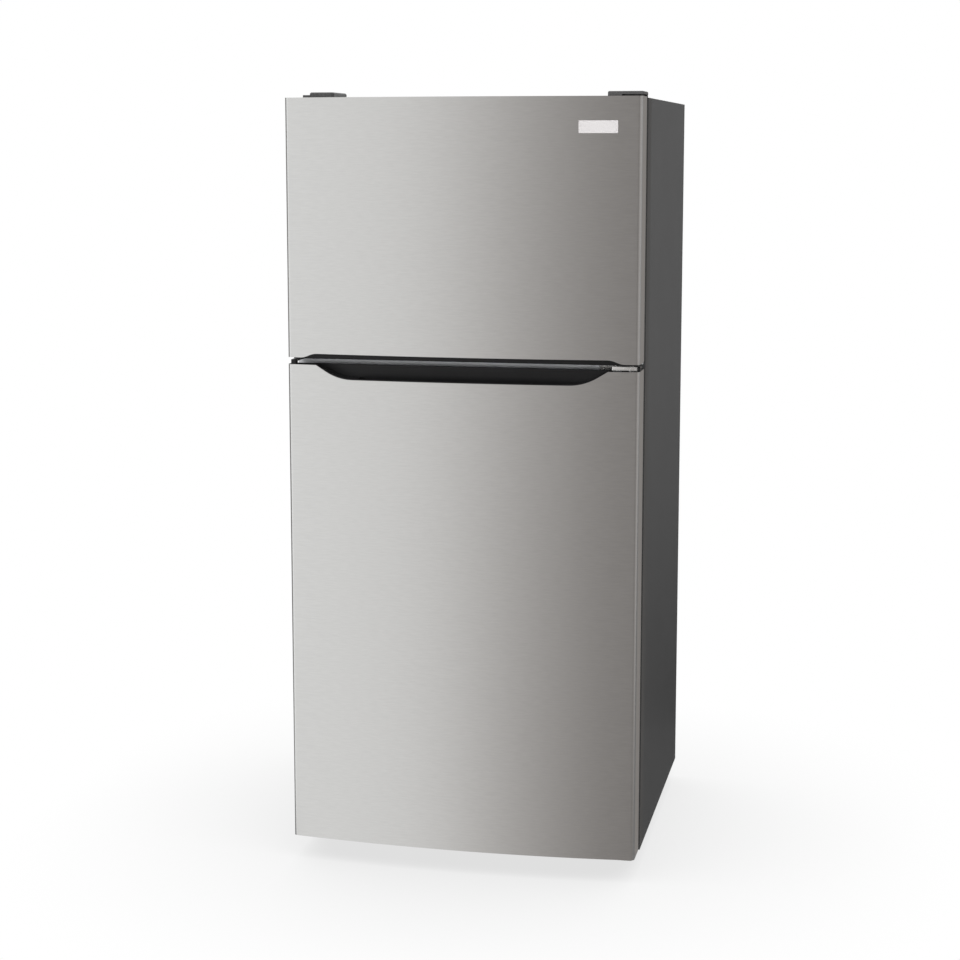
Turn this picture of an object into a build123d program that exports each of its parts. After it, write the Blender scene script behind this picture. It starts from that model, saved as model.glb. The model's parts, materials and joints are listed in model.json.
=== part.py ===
from build123d import *
import os

os.makedirs("parts", exist_ok=True)

# Frame: millimetres, +Z up, origin on the floor under the middle of the object, doors facing -Y.

# Overall sizes
CABINET_W = 762.0
OVERALL_D = 772.0
CABINET_TOP = 1665.0
CABINET_BOTTOM = 46.0
SHEET = 1.2

# Doors: bowed fronts, heights of the steel skins
DOOR_W = 760.0
DOOR_BOW = 22.0
DOOR_SIDE = 66.0
DOOR_CORNER_R = 9.0
SKIN = 1.0
DOOR_LINER_T = 2.0
FREEZER_DOOR_TOP = 1667.0
FREEZER_DOOR_BOTTOM = 1118.0
FRIDGE_DOOR_TOP = 1103.0
FRIDGE_DOOR_BOTTOM = 51.0
GASKET_GAP = 16.0
BODY_GAP = 0.4

# Grip recess under the freezer door and grip pocket in the top of the fridge door
RECESS_HEIGHT = 9.0
RECESS_BOTTOM_HALF = 343.0
RECESS_TOP_HALF = 321.0
RECESS_DEPTH = 23.0
RECESS_BEND_R = 40.0
RECESS_SHOULDER = 20.0
POCKET_DEPTH = 30.0
POCKET_TOP_HALF = 315.0
POCKET_BOTTOM_HALF = 266.0
POCKET_BEND_R = 115.0
POCKET_LIP_R = 16.0
POCKET_SHOULDER = 60.0
POCKET_RIM = 2.0
POCKET_BACK = 34.0
WELL_HALF = 225.0
WELL_DROP = 13.0
WELL_FRONT = 8.0
CAP_HEIGHT = 21.0
POCKET_CAP_HEIGHT = 52.0
LOWER_CAP_DROP = 4.8
UPPER_CAP_SINK = 8.0

# Hinges, all on one line at the right
HINGE_INSET = 22.0
HINGE_BACK = 34.0
PIN_R = 5.0
RUNNING = 0.05

# Cabinet openings and liners
WALL = 50.0
LINER = 2.0
FREEZER_CEILING = 1622.0
MULLION_TOP = 1146.0
MULLION_BOTTOM = 1066.0
FRIDGE_FLOOR = 90.0
FREEZER_BACK = 316.0
FRIDGE_BACK = 326.0
STEP_Y = 126.0
STEP_Z = 330.0
MULLION_T = 20.0

# Machine compartment behind the step
MACHINE_Y = 176.0
MACHINE_Z = 290.0
MACHINE_COVER_TOP = 300.0

# Inside fittings
SHELF_FRONT = -140.0
SHELF_T = 12.0
SHELF_GLASS = 4.0
SHELF_BORDER = 20.0
SHELF_REBATE = 10.0
SHELF_LEVELS = (560.0, 780.0)
CRISPER_SHELF_Z = STEP_Z + LINER + 2.0
LEDGE = 10.0
LEDGE_T = 6.0
RACK_Z = 1390.0
ROD = 2.0
BIN_WALL = 3.0
BIN_HALF = 272.0
DYKE_W = 28.0
DYKE_D = 83.0
BIN_D = 106.0

# Feet
FOOT_X = 330.0
FOOT_Y = -195.0
FOOT_PAD_R = 18.0
FOOT_STEM_R = 5.0
ROLLER_X = 335.0
ROLLER_Y = 325.0
ROLLER_R = 20.0
ROLLER_W = 20.0
AXLE_R = 4.0

# Small allowances: how far a cutter runs past a face, and how far a socket runs past its pin
PAST = 1.0
CUT_PAST = 5.0

# Worked out from the sizes above
HALF_W = CABINET_W / 2
HALF_DOOR = DOOR_W / 2
FRONT_Y = -OVERALL_D / 2
REAR_Y = OVERALL_D / 2
EDGE_Y = FRONT_Y + DOOR_BOW
DOOR_BACK_Y = EDGE_Y + DOOR_SIDE
DOOR_LINER_Y = DOOR_BACK_Y - DOOR_LINER_T
FACE_Y = DOOR_BACK_Y + GASKET_GAP
INNER_Y = FACE_Y + SHEET
CAVITY = HALF_W - WALL
HINGE_X = HALF_DOOR - HINGE_INSET
HINGE_Y = EDGE_Y + HINGE_BACK
INSIDE = CAVITY - LINER
FREEZER_CAP_BOTTOM = FREEZER_DOOR_BOTTOM - LOWER_CAP_DROP
FRIDGE_CAP_TOP = FRIDGE_DOOR_TOP - UPPER_CAP_SINK
RECESS_Y = EDGE_Y + RECESS_DEPTH
DYKE_Y = DOOR_BACK_Y + DYKE_D
BIN_Y = DOOR_BACK_Y + BIN_D


def slab(x, y, z, mode=Mode.ADD):
    """A box from its low and high limits along X, Y and Z."""
    with Locations(((x[0] + x[1]) / 2, (y[0] + y[1]) / 2, (z[0] + z[1]) / 2)):
        Box(abs(x[1] - x[0]), abs(y[1] - y[0]), abs(z[1] - z[0]), mode=mode)


def rod(start, direction, radius, length, mode=Mode.ADD):
    """A round bar from a start point along a direction."""
    with Locations(Plane(origin=start, z_dir=direction)):
        Cylinder(radius, length, align=(Align.CENTER, Align.CENTER, Align.MIN), mode=mode)


def door_block(inset, back_y, low, high, mode=Mode.ADD):
    """A length of door between two heights: bowed front with rounded corners, straight sides, flat back."""
    half = HALF_DOOR - inset
    edge = EDGE_Y + inset
    with BuildSketch(Plane.XY.offset(low)) as section:
        with BuildLine():
            ThreePointArc((-half, edge), (0, FRONT_Y + inset), (half, edge))
            Polyline((half, edge), (half, back_y), (-half, back_y), (-half, edge))
        make_face()
        fillet(section.vertices().group_by(Axis.Y)[0], DOOR_CORNER_R - inset)
    extrude(section.sketch, amount=high - low, mode=mode)


def recess_cut(back_y):
    """Cuts the grip recess with its sloping ends out of the lower front edge of the freezer door."""
    low = FREEZER_DOOR_BOTTOM
    top = low + RECESS_HEIGHT
    below = FREEZER_CAP_BOTTOM - PAST
    shoulder = RECESS_BOTTOM_HALF + RECESS_SHOULDER
    with BuildSketch(Plane.XZ.offset(-back_y)) as outline:
        with BuildLine():
            Polyline(
                (-shoulder, below),
                (-shoulder, low),
                (-RECESS_BOTTOM_HALF, low),
                (-RECESS_TOP_HALF, top),
                (RECESS_TOP_HALF, top),
                (RECESS_BOTTOM_HALF, low),
                (shoulder, low),
                (shoulder, below),
                close=True,
            )
        make_face()
        rows = outline.vertices().group_by(Axis.Y)
        lips = rows[1].filter_by(lambda corner: abs(corner.X) < shoulder - PAST)
        fillet(lips + rows[-1], RECESS_BEND_R)
    extrude(outline.sketch, amount=back_y - FRONT_Y + CUT_PAST, mode=Mode.SUBTRACT)


def pocket_cut(back_y, rim):
    """Cuts the grip pocket with its sloping ends out of the upper front edge of the fridge door."""
    top = FRIDGE_DOOR_TOP
    low = top - POCKET_DEPTH + rim
    top_half = POCKET_TOP_HALF - rim
    low_half = POCKET_BOTTOM_HALF - rim
    shoulder = top_half + POCKET_SHOULDER
    with BuildSketch(Plane.XZ.offset(-back_y)) as outline:
        with BuildLine():
            Polyline(
                (-shoulder, top + PAST),
                (-shoulder, top),
                (-top_half, top),
                (-low_half, low),
                (low_half, low),
                (top_half, top),
                (shoulder, top),
                (shoulder, top + PAST),
                close=True,
            )
        make_face()
        rows = outline.vertices().group_by(Axis.Y)
        lips = rows[1].filter_by(lambda corner: abs(corner.X) < shoulder - PAST)
        fillet(rows[0], POCKET_BEND_R)
        fillet(lips, POCKET_LIP_R)
    extrude(outline.sketch, amount=back_y - FRONT_Y + CUT_PAST, mode=Mode.SUBTRACT)


FAN_BLADES = 5
FAN_BLADE_T = 2.0
FAN_BLADE_ROOT = 2.0
FAN_BLADE_PITCH = 28.0
FAN_CHORD_SHARE = 0.75


def fan(radius, hub_r, hub_h, bore):
    """An axial fan along +Z, with flat pitched blades on a hub."""
    Cylinder(hub_r, hub_h)
    root = hub_r - FAN_BLADE_ROOT
    for index in range(FAN_BLADES):
        with Locations(Location((0, 0, 0), (0, 0, index * 360 / FAN_BLADES))):
            with Locations(Location(((radius + root) / 2, 0, 0), (FAN_BLADE_PITCH, 0, 0))):
                Box(radius - root, radius * FAN_CHORD_SHARE, FAN_BLADE_T)
    Cylinder(bore, hub_h, mode=Mode.SUBTRACT)


# Cabinet sheets
for side, sign in (("left", -1), ("right", 1)):
    with BuildPart() as side_panel:
        slab((sign * (HALF_W - SHEET), sign * HALF_W), (FACE_Y, REAR_Y), (CABINET_BOTTOM, CABINET_TOP))
    side_panel.part.label = f"{side}_side_panel"
    export_step(side_panel.part, f"parts/{side}_side_panel.step")

SHELL = HALF_W - SHEET
SHELL_TOP = CABINET_TOP - SHEET

with BuildPart() as top_panel:
    slab((-SHELL, SHELL), (FACE_Y, REAR_Y), (SHELL_TOP, CABINET_TOP))
top_panel.part.label = "top_panel"
export_step(top_panel.part, "parts/top_panel.step")

with BuildPart() as back_panel:
    slab((-SHELL, SHELL), (REAR_Y - SHEET, REAR_Y), (MACHINE_COVER_TOP, SHELL_TOP))
back_panel.part.label = "back_panel"
export_step(back_panel.part, "parts/back_panel.step")

with BuildPart() as face_frame:
    slab((-SHELL, SHELL), (FACE_Y, INNER_Y), (CABINET_BOTTOM, SHELL_TOP))
    slab((-CAVITY, CAVITY), (FACE_Y, INNER_Y), (FRIDGE_FLOOR, FREEZER_CEILING), Mode.SUBTRACT)
face_frame.part.label = "face_frame"
export_step(face_frame.part, "parts/face_frame.step")

STRIP_X = (-355.0, 284.5)
STRIP_END_X = -HALF_W + 1.0
STRIP_T = 1.0
STRIP_Z = (FRIDGE_CAP_TOP + 1.0, FREEZER_CAP_BOTTOM + 6.0)
STRIP_END_TOP = FREEZER_CAP_BOTTOM - 5.2

with BuildPart() as mullion_rail:
    slab((-CAVITY, CAVITY), (FACE_Y, FACE_Y + MULLION_T), (MULLION_BOTTOM, MULLION_TOP))
    slab(STRIP_X, (FACE_Y - STRIP_T, FACE_Y), STRIP_Z)
    slab((STRIP_END_X, STRIP_X[0]), (FACE_Y - STRIP_T, FACE_Y), (STRIP_Z[0], STRIP_END_TOP))
mullion_rail.part.label = "mullion_rail"
export_step(mullion_rail.part, "parts/mullion_rail.step")


def fridge_space(inset, front, mode=Mode.ADD):
    """The fresh food space with its step over the machine compartment, as a block across the cabinet."""
    with BuildSketch(Plane.YZ.offset(-CAVITY + inset)) as side_view:
        with BuildLine():
            Polyline(
                (front, FRIDGE_FLOOR + inset),
                (STEP_Y - inset, FRIDGE_FLOOR + inset),
                (STEP_Y - inset, STEP_Z + inset),
                (FRIDGE_BACK - inset, STEP_Z + inset),
                (FRIDGE_BACK - inset, MULLION_BOTTOM - inset),
                (front, MULLION_BOTTOM - inset),
                close=True,
            )
        make_face()
    extrude(side_view.sketch, amount=2 * (CAVITY - inset), mode=mode)


FOOT_SOCKET_R = 9.0
FOOT_SOCKET_TOP = 66.0
BASE_T = 2.0
FOAM_BOTTOM = CABINET_BOTTOM + BASE_T

with BuildPart() as insulation_foam:
    slab((-SHELL, SHELL), (INNER_Y, REAR_Y - SHEET), (FOAM_BOTTOM, SHELL_TOP))
    slab((-CAVITY, CAVITY), (INNER_Y, FREEZER_BACK), (MULLION_TOP, FREEZER_CEILING), Mode.SUBTRACT)
    fridge_space(0, INNER_Y, Mode.SUBTRACT)
    slab((-CAVITY, CAVITY), (INNER_Y, FACE_Y + MULLION_T), (MULLION_BOTTOM, MULLION_TOP), Mode.SUBTRACT)
    slab((-SHELL, SHELL), (MACHINE_Y, REAR_Y), (FOAM_BOTTOM, MACHINE_Z), Mode.SUBTRACT)
    for x in (-FOOT_X, FOOT_X):
        depth = FOOT_SOCKET_TOP - FOAM_BOTTOM
        rod((x, FOOT_Y, FOAM_BOTTOM), (0, 0, 1), FOOT_SOCKET_R, depth, Mode.SUBTRACT)
insulation_foam.part.label = "insulation_foam"
export_step(insulation_foam.part, "parts/insulation_foam.step")

RACK_LEDGE_END = FREEZER_BACK - 60.0
SHELF_LEDGE_END = STEP_Y - 10.0

with BuildPart() as freezer_liner:
    slab((-CAVITY, CAVITY), (INNER_Y, FREEZER_BACK), (MULLION_TOP, FREEZER_CEILING))
    slab(
        (-INSIDE, INSIDE),
        (INNER_Y, FREEZER_BACK - LINER),
        (MULLION_TOP + LINER, FREEZER_CEILING - LINER),
        Mode.SUBTRACT,
    )
    for sign in (-1, 1):
        ledge_z = (RACK_Z - ROD - LEDGE_T, RACK_Z - ROD)
        slab((sign * (INSIDE - LEDGE), sign * INSIDE), (SHELF_FRONT, RACK_LEDGE_END), ledge_z)
freezer_liner.part.label = "freezer_liner"
export_step(freezer_liner.part, "parts/freezer_liner.step")

with BuildPart() as fridge_liner:
    fridge_space(0, INNER_Y)
    fridge_space(LINER, INNER_Y, Mode.SUBTRACT)
    for sign in (-1, 1):
        for level in SHELF_LEVELS + (CRISPER_SHELF_Z,):
            ledge_z = (level - LEDGE_T, level)
            slab((sign * (INSIDE - LEDGE), sign * INSIDE), (SHELF_FRONT, SHELF_LEDGE_END), ledge_z)
fridge_liner.part.label = "fridge_liner"
export_step(fridge_liner.part, "parts/fridge_liner.step")

# Base frame with sockets for the feet and cheeks for the rollers
SOCKET_R = 10.0
SOCKET_H = 8.0
CHEEK_T = 2.0
CHEEK_HALF = 18.0
CHEEK_BOTTOM = 9.0
CHEEK_GAP = ROLLER_W / 2 + 1.5
AXLE_END = 2.0
ROLLER_ROUND = 2.0

with BuildPart() as base_frame:
    slab((-SHELL, SHELL), (INNER_Y, REAR_Y - SHEET), (CABINET_BOTTOM, FOAM_BOTTOM))
    for sign in (-1, 1):
        foot = (sign * FOOT_X, FOOT_Y, CABINET_BOTTOM - SOCKET_H)
        rod(foot, (0, 0, 1), SOCKET_R, SOCKET_H)
        rod(foot, (0, 0, 1), FOOT_STEM_R + RUNNING, SOCKET_H + BASE_T, Mode.SUBTRACT)
        for cheek in (-1, 1):
            near = sign * ROLLER_X + cheek * CHEEK_GAP
            cheek_y = (ROLLER_Y - CHEEK_HALF, ROLLER_Y + CHEEK_HALF)
            slab((near, near + cheek * CHEEK_T), cheek_y, (CHEEK_BOTTOM, CABINET_BOTTOM))
        reach = CHEEK_GAP + CHEEK_T + PAST
        start = (sign * ROLLER_X - reach, ROLLER_Y, ROLLER_R)
        rod(start, (1, 0, 0), AXLE_R, 2 * reach, Mode.SUBTRACT)
base_frame.part.label = "base_frame"
export_step(base_frame.part, "parts/base_frame.step")

with BuildPart() as roller_axles:
    for sign in (-1, 1):
        reach = CHEEK_GAP + CHEEK_T + AXLE_END
        rod((sign * ROLLER_X - reach, ROLLER_Y, ROLLER_R), (1, 0, 0), AXLE_R, 2 * reach)
roller_axles.part.label = "roller_axles"
export_step(roller_axles.part, "parts/roller_axles.step")

for side, sign in (("left", -1), ("right", 1)):
    with BuildPart() as roller:
        start = (sign * ROLLER_X - ROLLER_W / 2, ROLLER_Y, ROLLER_R)
        rod(start, (1, 0, 0), ROLLER_R, ROLLER_W)
        fillet(roller.edges().filter_by(GeomType.CIRCLE), ROLLER_ROUND)
        rod(start, (1, 0, 0), AXLE_R + RUNNING, ROLLER_W, Mode.SUBTRACT)
    roller.part.label = f"{side}_rear_roller"
    export_step(roller.part, f"parts/{side}_rear_roller.step")

FOOT_PAD_H = 10.0
FOOT_HEX_H = 9.0
FOOT_HEX_R = 13.0
FOOT_TOP = 62.0
FOOT_CHAMFER = 3.0

for side, sign in (("left", -1), ("right", 1)):
    with BuildPart() as foot:
        rod((sign * FOOT_X, FOOT_Y, 0), (0, 0, 1), FOOT_PAD_R, FOOT_PAD_H)
        chamfer(foot.edges().filter_by(GeomType.CIRCLE).group_by(Axis.Z)[-1], FOOT_CHAMFER)
        with BuildSketch(Plane.XY.offset(FOOT_PAD_H)):
            with Locations((sign * FOOT_X, FOOT_Y)):
                RegularPolygon(FOOT_HEX_R, 6)
        extrude(amount=FOOT_HEX_H)
        rod((sign * FOOT_X, FOOT_Y, FOOT_PAD_H), (0, 0, 1), FOOT_STEM_R, FOOT_TOP - FOOT_PAD_H)
    foot.part.label = f"{side}_levelling_foot"
    export_step(foot.part, f"parts/{side}_levelling_foot.step")

# Top hinge: bracket with its pin, and the two covers on the cabinet top
TOP_PLATE_Z = (FREEZER_DOOR_TOP + 1.2, FREEZER_DOOR_TOP + 4.2)
TOP_PIN_END = 1650.0
TOP_PLATE_FRONT = HINGE_Y - 14.0
TOP_PLATE_REAR = -182.0
TOP_PLATE_OUTER = HINGE_X + 16.0
TOP_PLATE_WAIST = HINGE_X - 8.0
TOP_PLATE_NOSE = HINGE_X - 18.0
TOP_PLATE_INNER = HINGE_X - 40.0
TOP_PLATE_BEND = FACE_Y + 14.0

with BuildPart() as top_hinge_bracket:
    with BuildSketch(Plane.XY.offset(TOP_PLATE_Z[0])):
        with BuildLine():
            Polyline(
                (TOP_PLATE_NOSE, TOP_PLATE_FRONT),
                (TOP_PLATE_OUTER, TOP_PLATE_FRONT),
                (TOP_PLATE_OUTER, FACE_Y),
                (TOP_PLATE_WAIST, TOP_PLATE_BEND),
                (TOP_PLATE_WAIST, TOP_PLATE_REAR),
                (TOP_PLATE_INNER, TOP_PLATE_REAR),
                (TOP_PLATE_INNER, TOP_PLATE_BEND),
                close=True,
            )
        make_face()
    extrude(amount=TOP_PLATE_Z[1] - TOP_PLATE_Z[0])
    foot_y = (TOP_PLATE_BEND, TOP_PLATE_REAR)
    slab((TOP_PLATE_INNER, TOP_PLATE_WAIST), foot_y, (CABINET_TOP, TOP_PLATE_Z[0]))
    rod((HINGE_X, HINGE_Y, TOP_PIN_END), (0, 0, 1), PIN_R, TOP_PLATE_Z[0] - TOP_PIN_END)
top_hinge_bracket.part.label = "top_hinge_bracket"
export_step(top_hinge_bracket.part, "parts/top_hinge_bracket.step")

COVER_X = (306.0, HALF_W - 0.5)
COVER_Y = (EDGE_Y + 12.0, -172.0)
COVER_Z = (CABINET_TOP, 1677.0)
COVER_WAIST = COVER_X[1] - 20.5
COVER_CORNER_R = 5.0
COVER_EDGE_R = 3.0
COVER_WALL = 2.5
COVER_REST = FREEZER_DOOR_TOP + 0.6
COVER_SLOT_X = 336.0
COVER_SLOT_TOP = FREEZER_DOOR_TOP + 3.5


def cover_plan(inset):
    """The outline of the hinge cover from above, wide over the door and narrow on the cabinet."""
    with BuildSketch(Plane.XY.offset(COVER_Z[0])) as plan:
        with BuildLine():
            Polyline(
                (COVER_X[0] + inset, COVER_Y[0] + inset),
                (COVER_X[1] - inset, COVER_Y[0] + inset),
                (COVER_X[1] - inset, FACE_Y),
                (COVER_WAIST - inset, TOP_PLATE_BEND),
                (COVER_WAIST - inset, COVER_Y[1] - inset),
                (COVER_X[0] + inset, COVER_Y[1] - inset),
                close=True,
            )
        make_face()
        fillet(plan.vertices(), COVER_CORNER_R - inset)
    return plan.sketch


with BuildPart() as top_hinge_cover:
    extrude(cover_plan(0), amount=COVER_Z[1] - COVER_Z[0])
    fillet(top_hinge_cover.faces().sort_by(Axis.Z)[-1].edges(), COVER_EDGE_R)
    extrude(cover_plan(COVER_WALL), amount=COVER_Z[1] - COVER_WALL - COVER_Z[0], mode=Mode.SUBTRACT)
    over_door = (COVER_Y[0] - PAST, FACE_Y)
    slab((COVER_X[0] - PAST, COVER_SLOT_X), over_door, (COVER_Z[0], COVER_REST), Mode.SUBTRACT)
    slab((COVER_SLOT_X, COVER_X[1] + PAST), over_door, (COVER_Z[0], COVER_SLOT_TOP), Mode.SUBTRACT)
top_hinge_cover.part.label = "top_hinge_cover"
export_step(top_hinge_cover.part, "parts/top_hinge_cover.step")

BLANK_X = (-367.0, -297.0)
BLANK_STEP_X = BLANK_X[0] + 16.0
BLANK_Y = (FACE_Y + 3.0, -172.0)
BLANK_TOP = CABINET_TOP + 15.0
BLANK_STEP_TOP = CABINET_TOP + 9.5
BLANK_STEP_INSET = 6.0
BLANK_CORNER_R = 6.0
BLANK_BEVEL = 2.5

with BuildPart() as blank_hinge_cover:
    slab((BLANK_STEP_X, BLANK_X[1]), BLANK_Y, (CABINET_TOP, BLANK_TOP))
    fillet(blank_hinge_cover.edges().filter_by(Axis.Z), BLANK_CORNER_R)
    chamfer(blank_hinge_cover.faces().sort_by(Axis.Z)[-1].edges(), BLANK_BEVEL)
    step_y = (BLANK_Y[0] + BLANK_STEP_INSET, BLANK_Y[1] - BLANK_STEP_INSET)
    slab((BLANK_X[0], BLANK_STEP_X + BLANK_STEP_INSET), step_y, (CABINET_TOP, BLANK_STEP_TOP))
blank_hinge_cover.part.label = "blank_hinge_cover"
export_step(blank_hinge_cover.part, "parts/blank_hinge_cover.step")

# Centre hinge on the mullion, and the blank cover at the other end of it
ARM_Z = (FRIDGE_DOOR_TOP + 1.5, FRIDGE_DOOR_TOP + 5.5)
ARM_LIP_TOP = FREEZER_CAP_BOTTOM - 1.2
FLANGE_Z = (FRIDGE_CAP_TOP + 2, FREEZER_CAP_BOTTOM + 6)
FLANGE_T = 3.0
FLANGE_X = (286.0, 352.0)
ARM_FRONT = HINGE_Y - 20.0
ARM_X = (HINGE_X - 33.0, HINGE_X + 16.0)
ARM_CORNER_R = 8.0
LIP_X = (HINGE_X - 37.5, HINGE_X + 15.0)
LIP_T = 3.0
UPPER_PIN_TOP = 1130.0
LOWER_PIN_END = 1078.0

with BuildPart() as centre_hinge_bracket:
    slab(FLANGE_X, (FACE_Y - FLANGE_T, FACE_Y), FLANGE_Z)
    slab(ARM_X, (ARM_FRONT, FACE_Y - FLANGE_T), ARM_Z)
    corners = centre_hinge_bracket.edges().filter_by(Axis.Z).group_by(Axis.Y)[0]
    fillet(corners, ARM_CORNER_R)
    slab(LIP_X, (ARM_FRONT, ARM_FRONT + LIP_T), (ARM_Z[0], ARM_LIP_TOP))
    rod((HINGE_X, HINGE_Y, LOWER_PIN_END), (0, 0, 1), PIN_R, UPPER_PIN_TOP - LOWER_PIN_END)
centre_hinge_bracket.part.label = "centre_hinge_bracket"
export_step(centre_hinge_bracket.part, "parts/centre_hinge_bracket.step")

END_COVER_X = (-HALF_DOOR + 4.0, -HALF_DOOR + 17.0)
END_COVER_Y = (EDGE_Y + 8.0, EDGE_Y + 22.0)
END_COVER_Z = (FRIDGE_DOOR_TOP + 0.7, ARM_LIP_TOP)
END_COVER_R = 4.0
END_ARM_BOTTOM = STRIP_END_TOP + 0.4

with BuildPart() as mullion_end_cover:
    slab(END_COVER_X, END_COVER_Y, END_COVER_Z)
    fillet(mullion_end_cover.edges().filter_by(Axis.Z), END_COVER_R)
    slab(END_COVER_X, (sum(END_COVER_Y) / 2, FACE_Y), (END_ARM_BOTTOM, ARM_LIP_TOP))
    slab(END_COVER_X, (FACE_Y - FLANGE_T, FACE_Y), (END_ARM_BOTTOM, FLANGE_Z[1]))
mullion_end_cover.part.label = "mullion_end_cover"
export_step(mullion_end_cover.part, "parts/mullion_end_cover.step")

# Bottom hinge under the base frame
BOTTOM_PLATE_T = 4.0
BOTTOM_PLATE_X = (HINGE_X - 46.0, HINGE_X + 16.0)
BOTTOM_PLATE_Y = (HINGE_Y - 14.0, FACE_Y + 35.0)
BOTTOM_PLATE_R = 8.0
BOTTOM_PIN_TOP = 68.0

with BuildPart() as bottom_hinge_bracket:
    slab(BOTTOM_PLATE_X, BOTTOM_PLATE_Y, (CABINET_BOTTOM - BOTTOM_PLATE_T, CABINET_BOTTOM))
    fillet(bottom_hinge_bracket.edges().filter_by(Axis.Z).group_by(Axis.Y)[0], BOTTOM_PLATE_R)
    rod((HINGE_X, HINGE_Y, CABINET_BOTTOM), (0, 0, 1), PIN_R, BOTTOM_PIN_TOP - CABINET_BOTTOM)
bottom_hinge_bracket.part.label = "bottom_hinge_bracket"
export_step(bottom_hinge_bracket.part, "parts/bottom_hinge_bracket.step")

# Screw heads of the three hinges, with round drive sockets
SCREW_R = 4.5
SCREW_H = 2.6
SCREW_FLOOR = 1.0
DRIVE_R = 2.2
TOP_SCREWS = ((HINGE_X - 32.0, -240.0), (HINGE_X - 16.0, -240.0), (HINGE_X - 24.0, -202.0))
CENTRE_SCREWS = ((FLANGE_X[0] + 8.0, ARM_Z[0] - 3.0), (FLANGE_X[1] - 22.0, ARM_Z[1] + 5.2))
BOTTOM_SCREWS_X = (HINGE_X - 30.0, HINGE_X)
BOTTOM_SCREWS_Y = FACE_Y + 16.0


def screw_head(place, direction):
    """A pan head standing on a face, with its drive socket."""
    with Locations(Plane(origin=place, z_dir=direction)):
        Cylinder(SCREW_R, SCREW_H, align=(Align.CENTER, Align.CENTER, Align.MIN))
        with Locations((0, 0, SCREW_H)):
            Cylinder(DRIVE_R, 2 * (SCREW_H - SCREW_FLOOR), mode=Mode.SUBTRACT)


with BuildPart() as hinge_screws:
    for x, y in TOP_SCREWS:
        screw_head((x, y, TOP_PLATE_Z[1]), (0, 0, 1))
    for x, z in CENTRE_SCREWS:
        screw_head((x, FACE_Y - FLANGE_T, z), (0, -1, 0))
    for x in BOTTOM_SCREWS_X:
        screw_head((x, BOTTOM_SCREWS_Y, CABINET_BOTTOM - BOTTOM_PLATE_T), (0, 0, -1))
hinge_screws.part.label = "hinge_screws"
export_step(hinge_screws.part, "parts/hinge_screws.step")

# Freezer door
FREEZER_FOAM_Z = (FREEZER_DOOR_BOTTOM + CAP_HEIGHT, FREEZER_DOOR_TOP - CAP_HEIGHT)
FREEZER_CAP_TOP = FREEZER_DOOR_TOP - 1.0
CAP_INSET = 6.0

with BuildPart() as freezer_door_skin:
    door_block(0, DOOR_BACK_Y, FREEZER_DOOR_BOTTOM, FREEZER_DOOR_TOP)
    door_block(SKIN, DOOR_BACK_Y + PAST, FREEZER_DOOR_BOTTOM, FREEZER_DOOR_TOP, Mode.SUBTRACT)
    recess_cut(RECESS_Y)
freezer_door_skin.part.label = "freezer_door_skin"
export_step(freezer_door_skin.part, "parts/freezer_door_skin.step")

with BuildPart() as freezer_door_foam:
    door_block(SKIN, DOOR_LINER_Y, *FREEZER_FOAM_Z)
freezer_door_foam.part.label = "freezer_door_foam"
export_step(freezer_door_foam.part, "parts/freezer_door_foam.step")

with BuildPart() as freezer_top_cap:
    door_block(SKIN, DOOR_LINER_Y, FREEZER_FOAM_Z[1], FREEZER_CAP_TOP)
    rod((HINGE_X, HINGE_Y, TOP_PIN_END - PAST), (0, 0, 1), PIN_R + RUNNING, CAP_HEIGHT, Mode.SUBTRACT)
freezer_top_cap.part.label = "freezer_top_cap"
export_step(freezer_top_cap.part, "parts/freezer_top_cap.step")

with BuildPart() as freezer_bottom_cap:
    door_block(SKIN, DOOR_LINER_Y, FREEZER_DOOR_BOTTOM, FREEZER_FOAM_Z[0])
    cap_half = HALF_DOOR - SKIN - CAP_INSET
    slab((-cap_half, cap_half), (RECESS_Y, DOOR_LINER_Y), (FREEZER_CAP_BOTTOM, FREEZER_DOOR_BOTTOM))
    recess_cut(RECESS_Y)
    bore = (HINGE_X, HINGE_Y, FREEZER_CAP_BOTTOM)
    rod(bore, (0, 0, 1), PIN_R + RUNNING, UPPER_PIN_TOP + PAST - FREEZER_CAP_BOTTOM, Mode.SUBTRACT)
freezer_bottom_cap.part.label = "freezer_bottom_cap"
export_step(freezer_bottom_cap.part, "parts/freezer_bottom_cap.step")

LINER_HALF = HALF_DOOR - SKIN
FREEZER_DYKE_Z = (1172.0, 1600.0)
FREEZER_BIN_Z = (1182.0, 1392.0)
FREEZER_BIN_H = 85.0


def dykes(low, high):
    """The two upright ribs of a door liner that carry the bins."""
    for sign in (-1, 1):
        rib = (sign * BIN_HALF, sign * (BIN_HALF + DYKE_W))
        slab(rib, (DOOR_LINER_Y, DYKE_Y), (low, high))


with BuildPart() as freezer_door_liner:
    slab((-LINER_HALF, LINER_HALF), (DOOR_LINER_Y, DOOR_BACK_Y), (FREEZER_CAP_BOTTOM, FREEZER_CAP_TOP))
    dykes(*FREEZER_DYKE_Z)
freezer_door_liner.part.label = "freezer_door_liner"
export_step(freezer_door_liner.part, "parts/freezer_door_liner.step")

GASKET_HALF = HINGE_X - 2.0
GASKET_W = 22.0
GASKET_Y = (DOOR_BACK_Y, FACE_Y - BODY_GAP)
FREEZER_GASKET_Z = (FREEZER_CAP_BOTTOM + 9.0, FREEZER_CAP_TOP - 16.0)


def gasket_ring(low, high):
    """A flat seal ring on the back of a door."""
    slab((-GASKET_HALF, GASKET_HALF), GASKET_Y, (low, high))
    inner = GASKET_HALF - GASKET_W
    slab((-inner, inner), GASKET_Y, (low + GASKET_W, high - GASKET_W), Mode.SUBTRACT)


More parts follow.
